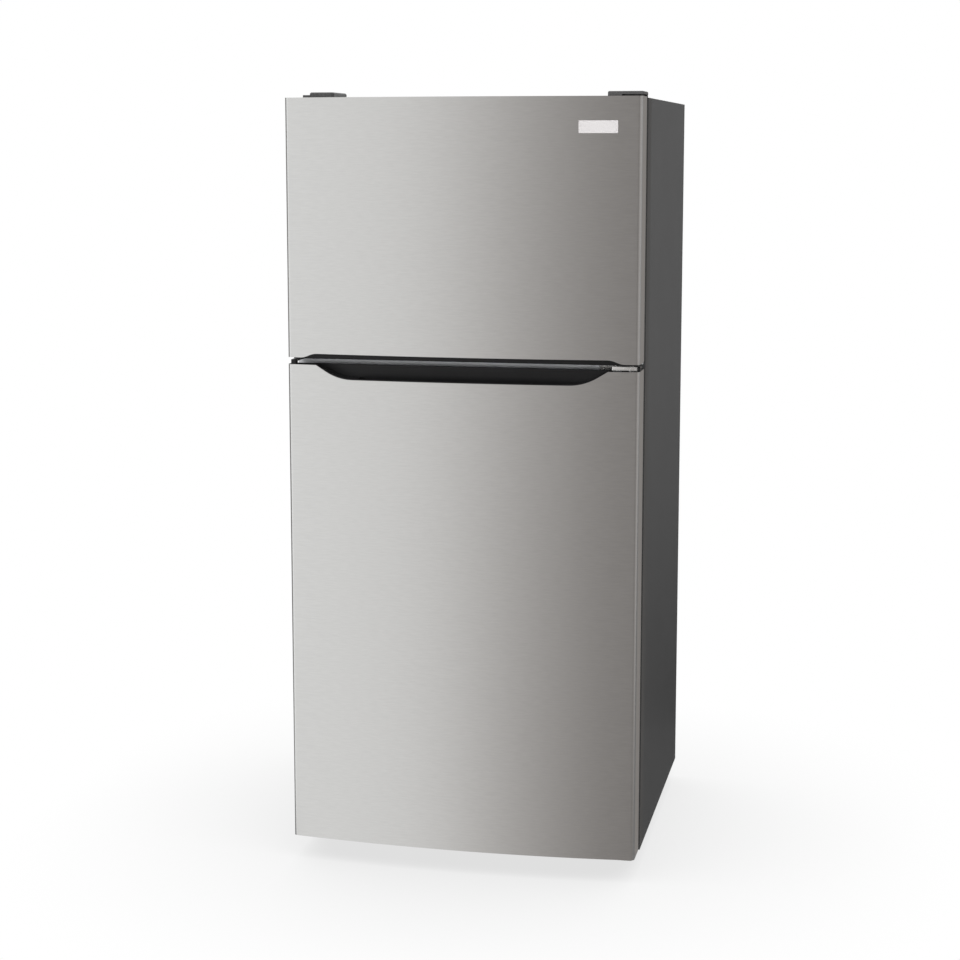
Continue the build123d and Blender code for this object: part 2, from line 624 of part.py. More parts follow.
with BuildPart() as freezer_gasket:
    gasket_ring(*FREEZER_GASKET_Z)
freezer_gasket.part.label = "freezer_gasket"
export_step(freezer_gasket.part, "parts/freezer_gasket.step")


def door_bin(low, height):
    """A tray between the ribs of a door liner, open at the top."""
    slab((-BIN_HALF, BIN_HALF), (DOOR_BACK_Y, BIN_Y), (low, low + height))
    inner_x = (-BIN_HALF + BIN_WALL, BIN_HALF - BIN_WALL)
    inner_y = (DOOR_BACK_Y + BIN_WALL, BIN_Y - BIN_WALL)
    slab(inner_x, inner_y, (low + BIN_WALL, low + height), Mode.SUBTRACT)


with BuildPart() as freezer_door_bins:
    for level in FREEZER_BIN_Z:
        door_bin(level, FREEZER_BIN_H)
freezer_door_bins.part.label = "freezer_door_bins"
export_step(freezer_door_bins.part, "parts/freezer_door_bins.step")

BADGE_X = (251.0, 331.0)
BADGE_Z = (1592.0, 1617.5)
BADGE_T = 1.5

with BuildPart() as badge_plate:
    door_block(-BADGE_T, DOOR_BACK_Y, *BADGE_Z)
    door_block(0, DOOR_BACK_Y + PAST, *BADGE_Z, mode=Mode.SUBTRACT)
    slab(BADGE_X, (FRONT_Y - CUT_PAST, EDGE_Y), BADGE_Z, Mode.INTERSECT)
badge_plate.part.label = "badge_plate"
export_step(badge_plate.part, "parts/badge_plate.step")

# Fridge door
FRIDGE_FOAM_Z = (FRIDGE_DOOR_BOTTOM + CAP_HEIGHT, FRIDGE_CAP_TOP - POCKET_CAP_HEIGHT)
FRIDGE_CAP_BOTTOM = FRIDGE_DOOR_BOTTOM + 1.0

with BuildPart() as fridge_door_skin:
    door_block(0, DOOR_BACK_Y, FRIDGE_DOOR_BOTTOM, FRIDGE_DOOR_TOP)
    door_block(SKIN, DOOR_BACK_Y + PAST, FRIDGE_DOOR_BOTTOM, FRIDGE_DOOR_TOP, Mode.SUBTRACT)
    pocket_cut(EDGE_Y + POCKET_BACK, 0)
fridge_door_skin.part.label = "fridge_door_skin"
export_step(fridge_door_skin.part, "parts/fridge_door_skin.step")

with BuildPart() as fridge_door_foam:
    door_block(SKIN, DOOR_LINER_Y, *FRIDGE_FOAM_Z)
fridge_door_foam.part.label = "fridge_door_foam"
export_step(fridge_door_foam.part, "parts/fridge_door_foam.step")

CAP_RIB_X = (-HALF_DOOR + SKIN + 0.5, 320.0)
CAP_RIB_Y = (EDGE_Y + POCKET_BACK, EDGE_Y + POCKET_BACK + 3.0)
CAP_RIB_Z = (FRIDGE_CAP_TOP, FRIDGE_DOOR_TOP - 0.5)
CAP_RIB_R = 1.2

with BuildPart() as fridge_top_cap:
    slab(CAP_RIB_X, CAP_RIB_Y, CAP_RIB_Z)
    fillet(fridge_top_cap.faces().sort_by(Axis.Z)[-1].edges(), CAP_RIB_R)
    door_block(SKIN, DOOR_LINER_Y, FRIDGE_FOAM_Z[1], FRIDGE_CAP_TOP)
    pocket_cut(EDGE_Y + POCKET_BACK, POCKET_RIM)
    well_floor = FRIDGE_DOOR_TOP - POCKET_DEPTH - WELL_DROP
    well_y = (EDGE_Y - WELL_FRONT, EDGE_Y + POCKET_BACK)
    slab((-WELL_HALF, WELL_HALF), well_y, (well_floor, FRIDGE_CAP_TOP), Mode.SUBTRACT)
    bore = (HINGE_X, HINGE_Y, LOWER_PIN_END - PAST)
    rod(bore, (0, 0, 1), PIN_R + RUNNING, FRIDGE_CAP_TOP - bore[2], Mode.SUBTRACT)
fridge_top_cap.part.label = "fridge_top_cap"
export_step(fridge_top_cap.part, "parts/fridge_top_cap.step")

with BuildPart() as fridge_bottom_cap:
    door_block(SKIN, DOOR_LINER_Y, FRIDGE_CAP_BOTTOM, FRIDGE_FOAM_Z[0])
    bore = (HINGE_X, HINGE_Y, FRIDGE_CAP_BOTTOM)
    rod(bore, (0, 0, 1), PIN_R + RUNNING, BOTTOM_PIN_TOP + PAST - FRIDGE_CAP_BOTTOM, Mode.SUBTRACT)
fridge_bottom_cap.part.label = "fridge_bottom_cap"
export_step(fridge_bottom_cap.part, "parts/fridge_bottom_cap.step")

FRIDGE_GASKET_Z = (FRIDGE_CAP_BOTTOM + 8.0, FRIDGE_CAP_TOP - 1.0)
FRIDGE_DYKE_Z = (322.0, 1044.0)
FRIDGE_BIN_Z = (340.0, 560.0)
FRIDGE_BIN_H = 105.0
SWITCH_Z = 1040.0
SWITCH_PAD_HALF = 18.0
SWITCH_PAD_Y = -272.4

with BuildPart() as fridge_door_liner:
    slab((-LINER_HALF, LINER_HALF), (DOOR_LINER_Y, DOOR_BACK_Y), (FRIDGE_CAP_BOTTOM, FRIDGE_CAP_TOP))
    dykes(*FRIDGE_DYKE_Z)
    pad_z = (SWITCH_Z - SWITCH_PAD_HALF, SWITCH_Z + SWITCH_PAD_HALF)
    slab((-SWITCH_PAD_HALF, SWITCH_PAD_HALF), (DOOR_LINER_Y, SWITCH_PAD_Y), pad_z)
fridge_door_liner.part.label = "fridge_door_liner"
export_step(fridge_door_liner.part, "parts/fridge_door_liner.step")

with BuildPart() as fridge_gasket:
    gasket_ring(*FRIDGE_GASKET_Z)
fridge_gasket.part.label = "fridge_gasket"
export_step(fridge_gasket.part, "parts/fridge_gasket.step")

with BuildPart() as fridge_door_bins:
    for level in FRIDGE_BIN_Z:
        door_bin(level, FRIDGE_BIN_H)
fridge_door_bins.part.label = "fridge_door_bins"
export_step(fridge_door_bins.part, "parts/fridge_door_bins.step")

# Dairy bin at the top of the door, with its lift-up flap on two pivots
DAIRY_Z = 785.0
DAIRY_H = 70.0
DAIRY_PIVOT_Y = DOOR_BACK_Y + 13.0
DAIRY_PIVOT_Z = 880.0
PIVOT_R = 3.0
FLAP_T = 2.5
FLAP_HALF = BIN_HALF - 1.0
FLAP_FRONT = BIN_Y + 6.0
FLAP_DROP = 52.0
FLAP_BEND_R = 2.0
FLAP_TUBE_R = PIVOT_R + 2.5
LUG_W = 8.0
LUG_PAST = 7.0

with BuildPart() as dairy_bin:
    door_bin(DAIRY_Z, DAIRY_H)
    for sign in (-1, 1):
        lug = (sign * (BIN_HALF - LUG_W), sign * BIN_HALF)
        lug_y = (DOOR_BACK_Y, DAIRY_PIVOT_Y + LUG_PAST)
        slab(lug, lug_y, (DAIRY_Z, DAIRY_PIVOT_Z + LUG_PAST))
        start = (sign * (BIN_HALF - LUG_W), DAIRY_PIVOT_Y, DAIRY_PIVOT_Z)
        rod(start, (-sign, 0, 0), PIVOT_R, LUG_W)
dairy_bin.part.label = "dairy_bin"
export_step(dairy_bin.part, "parts/dairy_bin.step")

with BuildPart() as dairy_flap:
    flap_half = FLAP_HALF - LUG_W
    roof_z = (DAIRY_PIVOT_Z - FLAP_T / 2, DAIRY_PIVOT_Z + FLAP_T / 2)
    slab((-flap_half, flap_half), (DAIRY_PIVOT_Y, FLAP_FRONT), roof_z)
    front_z = (DAIRY_PIVOT_Z - FLAP_DROP, roof_z[1])
    slab((-flap_half, flap_half), (FLAP_FRONT - FLAP_T, FLAP_FRONT), front_z)
    bend = dairy_flap.edges().filter_by(Axis.X).sort_by(lambda e: -e.center().Y - e.center().Z)[0]
    fillet(bend, FLAP_BEND_R)
    start = (-flap_half, DAIRY_PIVOT_Y, DAIRY_PIVOT_Z)
    rod(start, (1, 0, 0), FLAP_TUBE_R, 2 * flap_half)
    rod(start, (1, 0, 0), PIVOT_R + RUNNING, 2 * flap_half, Mode.SUBTRACT)
dairy_flap.part.label = "dairy_flap"
export_step(dairy_flap.part, "parts/dairy_flap.step")

# Freezer inside: evaporator, its fan and cover, and the wire rack
EVAPORATOR_COVER_Y = (262.0, 265.0)
EVAPORATOR_COVER_TOP = 1560.0
COIL_HALF = 230.0
COIL_R = 4.0
COIL_PITCH = 24.0
BEND_SHARE = 0.45
EVAPORATOR_PASSES = 7
EVAPORATOR_Y = 290.0
EVAPORATOR_Z = 1172.0
FAN_SHAFT_R = 3.0
MOTOR_R = 26.0
MOTOR_L = 20.0
SHAFT_L = 20.0
EVAPORATOR_FAN_Z = 1450.0
EVAPORATOR_FAN_R = 52.0
EVAPORATOR_HUB_R = 14.0
FAN_HUB_H = 12.0
GRILLE_SLOTS = 16
GRILLE_MID_R = 34.0
GRILLE_SLOT = (30.0, 5.0)
RETURN_SLOTS = 9
RETURN_PITCH = 60.0
RETURN_W = 44.0
RETURN_Z = (MULLION_TOP + LINER + 8.0, MULLION_TOP + LINER + 20.0)
FIN_COUNT = 23
FIN_PITCH = 18.0
FIN_HALF_D = 16.0
FIN_T = 1.0
FIN_PAST = 14.0

with BuildPart() as evaporator_cover:
    slab((-INSIDE, INSIDE), EVAPORATOR_COVER_Y, (MULLION_TOP + LINER, EVAPORATOR_COVER_TOP))
    with Locations(Plane(origin=(0, EVAPORATOR_COVER_Y[0], EVAPORATOR_FAN_Z), z_dir=(0, -1, 0))):
        with PolarLocations(GRILLE_MID_R, GRILLE_SLOTS):
            Box(*GRILLE_SLOT, 4 * CUT_PAST, mode=Mode.SUBTRACT)
    for index in range(RETURN_SLOTS):
        slot_x = (index - (RETURN_SLOTS - 1) / 2) * RETURN_PITCH
        slot = (slot_x - RETURN_W / 2, slot_x + RETURN_W / 2)
        slab(slot, EVAPORATOR_COVER_Y, RETURN_Z, Mode.SUBTRACT)
evaporator_cover.part.label = "evaporator_cover"
export_step(evaporator_cover.part, "parts/evaporator_cover.step")


def serpentine(half, passes, pitch):
    """Corner points of a flat zigzag tube, first along +X, then up by one pitch, and back."""
    points = []
    for index in range(passes):
        ends = (-half, half) if index % 2 == 0 else (half, -half)
        points += [(ends[0], index * pitch), (ends[1], index * pitch)]
    return points


def coil(origin, half, passes, pitch):
    """A bent tube that zigzags upwards in an upright plane."""
    plane = Plane(origin=origin, x_dir=(1, 0, 0), z_dir=(0, -1, 0))
    with BuildLine(plane) as path:
        FilletPolyline(*serpentine(half, passes, pitch), radius=BEND_SHARE * pitch)
    with BuildSketch(Plane(origin=path.line @ 0, z_dir=path.line % 0)) as tube:
        Circle(COIL_R)
    sweep(tube.sketch, path=path.line)


with BuildPart() as evaporator_coil:
    coil((0, EVAPORATOR_Y, EVAPORATOR_Z), COIL_HALF, EVAPORATOR_PASSES, COIL_PITCH)
    fin_y = (EVAPORATOR_Y - FIN_HALF_D, EVAPORATOR_Y + FIN_HALF_D)
    last_pass = EVAPORATOR_Z + (EVAPORATOR_PASSES - 1) * COIL_PITCH
    for index in range(FIN_COUNT):
        x = (index - (FIN_COUNT - 1) / 2) * FIN_PITCH
        slab((x, x + FIN_T), fin_y, (MULLION_TOP + LINER, last_pass + FIN_PAST))
evaporator_coil.part.label = "evaporator_coil"
export_step(evaporator_coil.part, "parts/evaporator_coil.step")

CONDENSER_FAN_X = -30.0
CONDENSER_FAN_Y = 285.0
CONDENSER_FAN_Z = 165.0
CONDENSER_FAN_R = 70.0
CONDENSER_HUB_R = 16.0
MOTOR_FOOT = 14.0
MOTOR_FOOT_INSET = 3.0

with BuildPart() as fan_motors:
    liner_back = FREEZER_BACK - LINER
    rod((0, liner_back - MOTOR_L, EVAPORATOR_FAN_Z), (0, 1, 0), MOTOR_R, MOTOR_L)
    rod((0, liner_back - MOTOR_L - SHAFT_L, EVAPORATOR_FAN_Z), (0, 1, 0), FAN_SHAFT_R, SHAFT_L)
    motor = (CONDENSER_FAN_X, CONDENSER_FAN_Y, CONDENSER_FAN_Z)
    rod(motor, (1, 0, 0), MOTOR_R, MOTOR_L)
    rod(motor, (-1, 0, 0), FAN_SHAFT_R, SHAFT_L)
    post_x = (CONDENSER_FAN_X + MOTOR_FOOT_INSET, CONDENSER_FAN_X + MOTOR_L - MOTOR_FOOT_INSET)
    post_y = (CONDENSER_FAN_Y - MOTOR_FOOT, CONDENSER_FAN_Y + MOTOR_FOOT)
    slab(post_x, post_y, (FOAM_BOTTOM, CONDENSER_FAN_Z))
fan_motors.part.label = "fan_motors"
export_step(fan_motors.part, "parts/fan_motors.step")

evaporator_hub = (0, FREEZER_BACK - LINER - MOTOR_L - SHAFT_L + FAN_HUB_H / 2, EVAPORATOR_FAN_Z)
with BuildPart(Plane(origin=evaporator_hub, z_dir=(0, -1, 0))) as evaporator_fan:
    fan(EVAPORATOR_FAN_R, EVAPORATOR_HUB_R, FAN_HUB_H, FAN_SHAFT_R + RUNNING)
evaporator_fan.part.label = "evaporator_fan"
export_step(evaporator_fan.part, "parts/evaporator_fan.step")

condenser_hub = (CONDENSER_FAN_X - SHAFT_L + FAN_HUB_H / 2, CONDENSER_FAN_Y, CONDENSER_FAN_Z)
with BuildPart(Plane(origin=condenser_hub, z_dir=(-1, 0, 0))) as condenser_fan:
    fan(CONDENSER_FAN_R, CONDENSER_HUB_R, FAN_HUB_H, FAN_SHAFT_R + RUNNING)
condenser_fan.part.label = "condenser_fan"
export_step(condenser_fan.part, "parts/condenser_fan.step")

RACK_HALF = INSIDE - 2.0
RACK_Y = (SHELF_FRONT + 4.0, 250.0)
RACK_RODS = 23
RACK_END = 6.0

with BuildPart() as freezer_shelf:
    for y in (RACK_Y[0], sum(RACK_Y) / 2, RACK_Y[1]):
        rod((-RACK_HALF, y, RACK_Z), (1, 0, 0), ROD, 2 * RACK_HALF)
    for index in range(RACK_RODS):
        x = (RACK_HALF - RACK_END) * (2 * index / (RACK_RODS - 1) - 1)
        rod((x, RACK_Y[0], RACK_Z + ROD), (0, 1, 0), ROD, RACK_Y[1] - RACK_Y[0])
freezer_shelf.part.label = "freezer_shelf"
export_step(freezer_shelf.part, "parts/freezer_shelf.step")

# Fridge inside: glass shelves in frames, crisper drawers
SHELF_HALF = INSIDE - 1.0
SHELF_Y = (SHELF_FRONT, FRIDGE_BACK - LINER - 1.0)


def shelf_frame(low):
    """A shelf rim with a rebate on top for its glass."""
    slab((-SHELF_HALF, SHELF_HALF), SHELF_Y, (low, low + SHELF_T))
    hole = SHELF_HALF - SHELF_BORDER
    hole_y = (SHELF_Y[0] + SHELF_BORDER, SHELF_Y[1] - SHELF_BORDER)
    slab((-hole, hole), hole_y, (low, low + SHELF_T), Mode.SUBTRACT)
    seat = SHELF_HALF - SHELF_REBATE
    seat_y = (SHELF_Y[0] + SHELF_REBATE, SHELF_Y[1] - SHELF_REBATE)
    slab((-seat, seat), seat_y, (low + SHELF_T - SHELF_GLASS, low + SHELF_T), Mode.SUBTRACT)


with BuildPart() as shelf_frames:
    for level in SHELF_LEVELS:
        shelf_frame(level)
shelf_frames.part.label = "shelf_frames"
export_step(shelf_frames.part, "parts/shelf_frames.step")

with BuildPart() as crisper_shelf_frame:
    shelf_frame(CRISPER_SHELF_Z)
crisper_shelf_frame.part.label = "crisper_shelf_frame"
export_step(crisper_shelf_frame.part, "parts/crisper_shelf_frame.step")

with BuildPart() as shelf_glass:
    pane = SHELF_HALF - SHELF_REBATE
    pane_y = (SHELF_Y[0] + SHELF_REBATE, SHELF_Y[1] - SHELF_REBATE)
    for level in SHELF_LEVELS + (CRISPER_SHELF_Z,):
        slab((-pane, pane), pane_y, (level + SHELF_T - SHELF_GLASS, level + SHELF_T))
shelf_glass.part.label = "shelf_glass"
export_step(shelf_glass.part, "parts/shelf_glass.step")

CRISPER_X = (6.0, INSIDE - LEDGE - 3.0)
CRISPER_Y = (-158.0, STEP_Y - LINER - 8.0)
CRISPER_Z = (FRIDGE_FLOOR + LINER + BODY_GAP, 304.0)
CRISPER_WALL = 2.5
CRISPER_FRONT = 8.0
CRISPER_ROUND = 3.0
PULL_D = 12.0
PULL_T = 10.0
PULL_INSET = 40.0

for side, sign in (("left", -1), ("right", 1)):
    with BuildPart() as crisper:
        slab((sign * CRISPER_X[0], sign * CRISPER_X[1]), CRISPER_Y, CRISPER_Z)
        inner_x = (sign * (CRISPER_X[0] + CRISPER_WALL), sign * (CRISPER_X[1] - CRISPER_WALL))
        inner_y = (CRISPER_Y[0] + CRISPER_FRONT, CRISPER_Y[1] - CRISPER_WALL)
        slab(inner_x, inner_y, (CRISPER_Z[0] + CRISPER_WALL, CRISPER_Z[1]), Mode.SUBTRACT)
        pull_x = (sign * (CRISPER_X[0] + PULL_INSET), sign * (CRISPER_X[1] - PULL_INSET))
        pull_y = (CRISPER_Y[0] - PULL_D, CRISPER_Y[0])
        slab(pull_x, pull_y, (CRISPER_Z[1] - PULL_T, CRISPER_Z[1]))
        front_edges = crisper.edges().filter_by(Axis.X).group_by(Axis.Y)[0]
        fillet(front_edges, CRISPER_ROUND)
    crisper.part.label = f"{side}_crisper"
    export_step(crisper.part, f"parts/{side}_crisper.step")

# Controls under the fridge ceiling: housing, lens, two dials and the light switch
HOUSING_HALF = 160.0
HOUSING_Y = (-250.0, -70.0)
HOUSING_Z = (1014.0, MULLION_BOTTOM - LINER)
HOUSING_WALL = 2.5
HOUSING_CORNER_R = 8.0
DIAL_X = 95.0
DIAL_R = 18.0
DIAL_H = 14.0
DIAL_SHAFT_R = 3.0
DIAL_SHAFT_L = 12.0
DIAL_ROUND = 2.0
POINTER_HALF = 2.0
POINTER_Z = (SWITCH_Z - 4.0, SWITCH_Z + 15.0)
POINTER_H = 2.0
PLUNGER_ROUND = 1.5
PLUNGER_R = 4.0
PLUNGER_Y = (-272.0, -236.0)
LENS_HALF = 60.0
LENS_Y = (-170.0, -90.0)
LENS_T = 3.0

with BuildPart() as control_housing:
    slab((-HOUSING_HALF, HOUSING_HALF), HOUSING_Y, HOUSING_Z)
    fillet(control_housing.edges().filter_by(Axis.Z), HOUSING_CORNER_R)
    inner_half = HOUSING_HALF - HOUSING_WALL
    inner_y = (HOUSING_Y[0] + HOUSING_WALL, HOUSING_Y[1] - HOUSING_WALL)
    slab((-inner_half, inner_half), inner_y, (HOUSING_Z[0] + HOUSING_WALL, HOUSING_Z[1]), Mode.SUBTRACT)
    slab((-LENS_HALF, LENS_HALF), LENS_Y, (HOUSING_Z[0], HOUSING_Z[0] + HOUSING_WALL), Mode.SUBTRACT)
    bore_y = HOUSING_Y[0] - PAST
    bore_l = HOUSING_WALL + 2 * PAST
    rod((0, bore_y, SWITCH_Z), (0, 1, 0), PLUNGER_R + RUNNING, bore_l, Mode.SUBTRACT)
    for x in (-DIAL_X, DIAL_X):
        rod((x, bore_y, SWITCH_Z), (0, 1, 0), DIAL_SHAFT_R + RUNNING, bore_l, Mode.SUBTRACT)
control_housing.part.label = "control_housing"
export_step(control_housing.part, "parts/control_housing.step")

with BuildPart() as lamp_lens:
    lens_top = HOUSING_Z[0] + HOUSING_WALL
    slab((-LENS_HALF, LENS_HALF), LENS_Y, (lens_top - LENS_T, lens_top))
lamp_lens.part.label = "lamp_lens"
export_step(lamp_lens.part, "parts/lamp_lens.step")

for name, x in (("fridge_dial", DIAL_X), ("freezer_dial", -DIAL_X)):
    with BuildPart() as dial:
        face = HOUSING_Y[0] - BODY_GAP
        rod((x, face, SWITCH_Z), (0, -1, 0), DIAL_R, DIAL_H)
        fillet(dial.edges().filter_by(GeomType.CIRCLE).group_by(Axis.Y)[0], DIAL_ROUND)
        rod((x, face, SWITCH_Z), (0, 1, 0), DIAL_SHAFT_R, DIAL_SHAFT_L)
        pointer_y = (face - DIAL_H - POINTER_H, face - DIAL_H + PAST)
        slab((x - POINTER_HALF, x + POINTER_HALF), pointer_y, POINTER_Z)
    dial.part.label = name
    export_step(dial.part, f"parts/{name}.step")

with BuildPart() as light_switch:
    rod((0, PLUNGER_Y[0], SWITCH_Z), (0, 1, 0), PLUNGER_R, PLUNGER_Y[1] - PLUNGER_Y[0])
    fillet(light_switch.edges().filter_by(GeomType.CIRCLE).group_by(Axis.Y)[0], PLUNGER_ROUND)
light_switch.part.label = "light_switch"
export_step(light_switch.part, "parts/light_switch.step")

# Machine compartment: compressor, condenser, drain pan and the rear cover
COMPRESSOR_X = 205.0
COMPRESSOR_Y = 282.0
COMPRESSOR_R = 78.0
COMPRESSOR_FOOT_Z = 60.0
COMPRESSOR_FOOT_HALF = (100.0, 70.0)
COMPRESSOR_FOOT_T = 4.0
COMPRESSOR_FOOT_R = 12.0
COMPRESSOR_H = 172.0
COMPRESSOR_DOME_R = 58.0
GROMMET_R = 9.0
GROMMET_PLACE = (84.0, 54.0)

with BuildPart() as compressor:
    slab(
        (COMPRESSOR_X - COMPRESSOR_FOOT_HALF[0], COMPRESSOR_X + COMPRESSOR_FOOT_HALF[0]),
        (COMPRESSOR_Y - COMPRESSOR_FOOT_HALF[1], COMPRESSOR_Y + COMPRESSOR_FOOT_HALF[1]),
        (COMPRESSOR_FOOT_Z, COMPRESSOR_FOOT_Z + COMPRESSOR_FOOT_T),
    )
    fillet(compressor.edges().filter_by(Axis.Z), COMPRESSOR_FOOT_R)
    rod((COMPRESSOR_X, COMPRESSOR_Y, COMPRESSOR_FOOT_Z), (0, 0, 1), COMPRESSOR_R, COMPRESSOR_H)
    fillet(compressor.faces().sort_by(Axis.Z)[-1].edges(), COMPRESSOR_DOME_R)
compressor.part.label = "compressor"
export_step(compressor.part, "parts/compressor.step")

with BuildPart() as compressor_grommets:
    for along in (-1, 1):
        for across in (-1, 1):
            x = COMPRESSOR_X + along * GROMMET_PLACE[0]
            y = COMPRESSOR_Y + across * GROMMET_PLACE[1]
            rod((x, y, FOAM_BOTTOM), (0, 0, 1), GROMMET_R, COMPRESSOR_FOOT_Z - FOAM_BOTTOM)
compressor_grommets.part.label = "compressor_grommets"
export_step(compressor_grommets.part, "parts/compressor_grommets.step")

PAN_X = (-350.0, -110.0)
PAN_Y = (195.0, 370.0)
PAN_Z = (FOAM_BOTTOM, FOAM_BOTTOM + 30.0)
PAN_WALL = 2.0
CONDENSER_X = sum(PAN_X) / 2
CONDENSER_HALF = 100.0
CONDENSER_PASSES = 8
CONDENSER_PITCH = 22.0
CONDENSER_Y = 282.0
CONDENSER_Z = PAN_Z[0] + PAN_WALL + COIL_R

with BuildPart() as drain_pan:
    slab(PAN_X, PAN_Y, PAN_Z)
    inner_x = (PAN_X[0] + PAN_WALL, PAN_X[1] - PAN_WALL)
    inner_y = (PAN_Y[0] + PAN_WALL, PAN_Y[1] - PAN_WALL)
    slab(inner_x, inner_y, (PAN_Z[0] + PAN_WALL, PAN_Z[1]), Mode.SUBTRACT)
drain_pan.part.label = "drain_pan"
export_step(drain_pan.part, "parts/drain_pan.step")

with BuildPart() as condenser_coil:
    coil((CONDENSER_X, CONDENSER_Y, CONDENSER_Z), CONDENSER_HALF, CONDENSER_PASSES, CONDENSER_PITCH)
condenser_coil.part.label = "condenser_coil"
export_step(condenser_coil.part, "parts/condenser_coil.step")

VENT_ROWS = 9
VENT_PITCH = 20.0
VENT_W = 90.0
VENT_H = 8.0
VENT_COLUMNS = 5
VENT_GAP = 25.0

with BuildPart() as machine_cover:
    slab((-SHELL, SHELL), (REAR_Y - SHEET, REAR_Y), (CABINET_BOTTOM, MACHINE_COVER_TOP))
    with BuildSketch(Plane.XZ.offset(-REAR_Y)):
        with Locations((0, (FOAM_BOTTOM + MACHINE_COVER_TOP) / 2)):
            with GridLocations(VENT_W + VENT_GAP, VENT_PITCH, VENT_COLUMNS, VENT_ROWS):
                SlotOverall(VENT_W, VENT_H)
    extrude(amount=SHEET, mode=Mode.SUBTRACT)
machine_cover.part.label = "machine_cover"
export_step(machine_cover.part, "parts/machine_cover.step")
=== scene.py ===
"""Looks of the top freezer refrigerator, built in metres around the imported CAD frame."""

import json
import math

import bmesh
import bpy
from mathutils import Matrix, Vector


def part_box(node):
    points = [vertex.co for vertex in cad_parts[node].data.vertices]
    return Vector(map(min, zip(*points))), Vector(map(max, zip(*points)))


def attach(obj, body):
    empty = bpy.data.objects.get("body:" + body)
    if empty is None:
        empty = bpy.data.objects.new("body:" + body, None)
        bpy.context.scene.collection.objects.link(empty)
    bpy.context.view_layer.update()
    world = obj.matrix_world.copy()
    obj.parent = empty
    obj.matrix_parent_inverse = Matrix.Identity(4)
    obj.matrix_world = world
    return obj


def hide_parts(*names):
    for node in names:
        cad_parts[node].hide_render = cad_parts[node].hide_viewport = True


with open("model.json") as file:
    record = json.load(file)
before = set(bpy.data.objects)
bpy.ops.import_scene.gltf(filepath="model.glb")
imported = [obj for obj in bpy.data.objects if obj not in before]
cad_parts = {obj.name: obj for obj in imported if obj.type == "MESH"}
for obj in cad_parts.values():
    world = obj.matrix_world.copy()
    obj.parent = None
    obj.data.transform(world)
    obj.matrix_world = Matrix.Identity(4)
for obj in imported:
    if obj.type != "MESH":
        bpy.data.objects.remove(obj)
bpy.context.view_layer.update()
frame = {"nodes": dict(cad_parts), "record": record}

MM = 0.001
HEX_SIDES = 6

# camera, fitted to the photograph's door corners and side edges
CAMERA_PLACE = (0.9151, -4.3786, 1.56)
CAMERA_YAW = math.radians(12.264)
CAMERA_DIP = math.radians(8.14)
CAMERA_LENS = 73.705
CAMERA_SENSOR = 36.0
CAMERA_SHIFT = -0.052

SLOT_OF = {part["node"]: part["material_slot"] for part in frame["record"]["subparts"]}


# node helpers


def new_material(name):
    """An empty node material and its main shader."""
    made = bpy.data.materials.new(name)
    made.use_nodes = True
    return made, made.node_tree, made.node_tree.nodes["Principled BSDF"]


def add(tree, kind, **settings):
    """A new node with its properties set."""
    made = tree.nodes.new(kind)
    for key, value in settings.items():
        setattr(made, key, value)
    return made


def stretched_noise(tree, stretch, detail=3.0):
    """Noise over the object's own metres, with so many features per metre along x, y and z."""
    place = add(tree, "ShaderNodeTexCoord")
    mapping = add(tree, "ShaderNodeMapping")
    mapping.inputs["Scale"].default_value = stretch
    noise = add(tree, "ShaderNodeTexNoise")
    noise.inputs["Scale"].default_value = 1.0
    noise.inputs["Detail"].default_value = detail
    tree.links.new(place.outputs["Object"], mapping.inputs["Vector"])
    tree.links.new(mapping.outputs["Vector"], noise.inputs["Vector"])
    return noise.outputs["Fac"]


def ramp(tree, factor, stops):
    """A colour ramp through (position, colour) stops."""
    made = add(tree, "ShaderNodeValToRGB")
    elements = made.color_ramp.elements
    while len(elements) < len(stops):
        elements.new(0.5)
    while len(elements) > len(stops):
        elements.remove(elements[-1])
    for element, (position, colour) in zip(elements, stops):
        element.position = position
        element.color = (*colour, 1.0)
    tree.links.new(factor, made.inputs["Fac"])
    return made.outputs["Color"]


def spread_over(tree, factor, low, high, start=0.0, stop=1.0):
    """The factor's run from start to stop, spread over low to high."""
    made = add(tree, "ShaderNodeMapRange")
    limits = {"From Min": start, "From Max": stop, "To Min": low, "To Max": high}
    for socket, value in limits.items():
        made.inputs[socket].default_value = value
    tree.links.new(factor, made.inputs["Value"])
    return made.outputs["Result"]


def bumped(tree, height, shader, strength, distance):
    """Raises the shader's surface by the height value."""
    made = add(tree, "ShaderNodeBump")
    made.inputs["Strength"].default_value = strength
    made.inputs["Distance"].default_value = distance
    tree.links.new(height, made.inputs["Height"])
    tree.links.new(made.outputs["Normal"], shader.inputs["Normal"])


def shaded(colour, share):
    """The colour made lighter or darker by a share of itself."""
    return tuple(min(1.0, c * (1 + share)) for c in colour)


def tinted(tree, factor, shader, colour, spread, stops):
    """Lets the shader's colour drift between a darker and a lighter shade."""
    shades = (shaded(colour, -spread), shaded(colour, spread))
    tree.links.new(ramp(tree, factor, list(zip(stops, shades))), shader.inputs["Base Color"])


# the part of its range that noise mostly keeps to
NOISE_LOW = 0.3
NOISE_HIGH = 0.7


def polished(tree, factor, shader, rough, spread):
    """Lets the shader's roughness drift by a share of itself."""
    low, high = rough * (1 - spread), rough * (1 + spread)
    drift = spread_over(tree, factor, low, high, NOISE_LOW, NOISE_HIGH)
    tree.links.new(drift, shader.inputs["Roughness"])


# materials

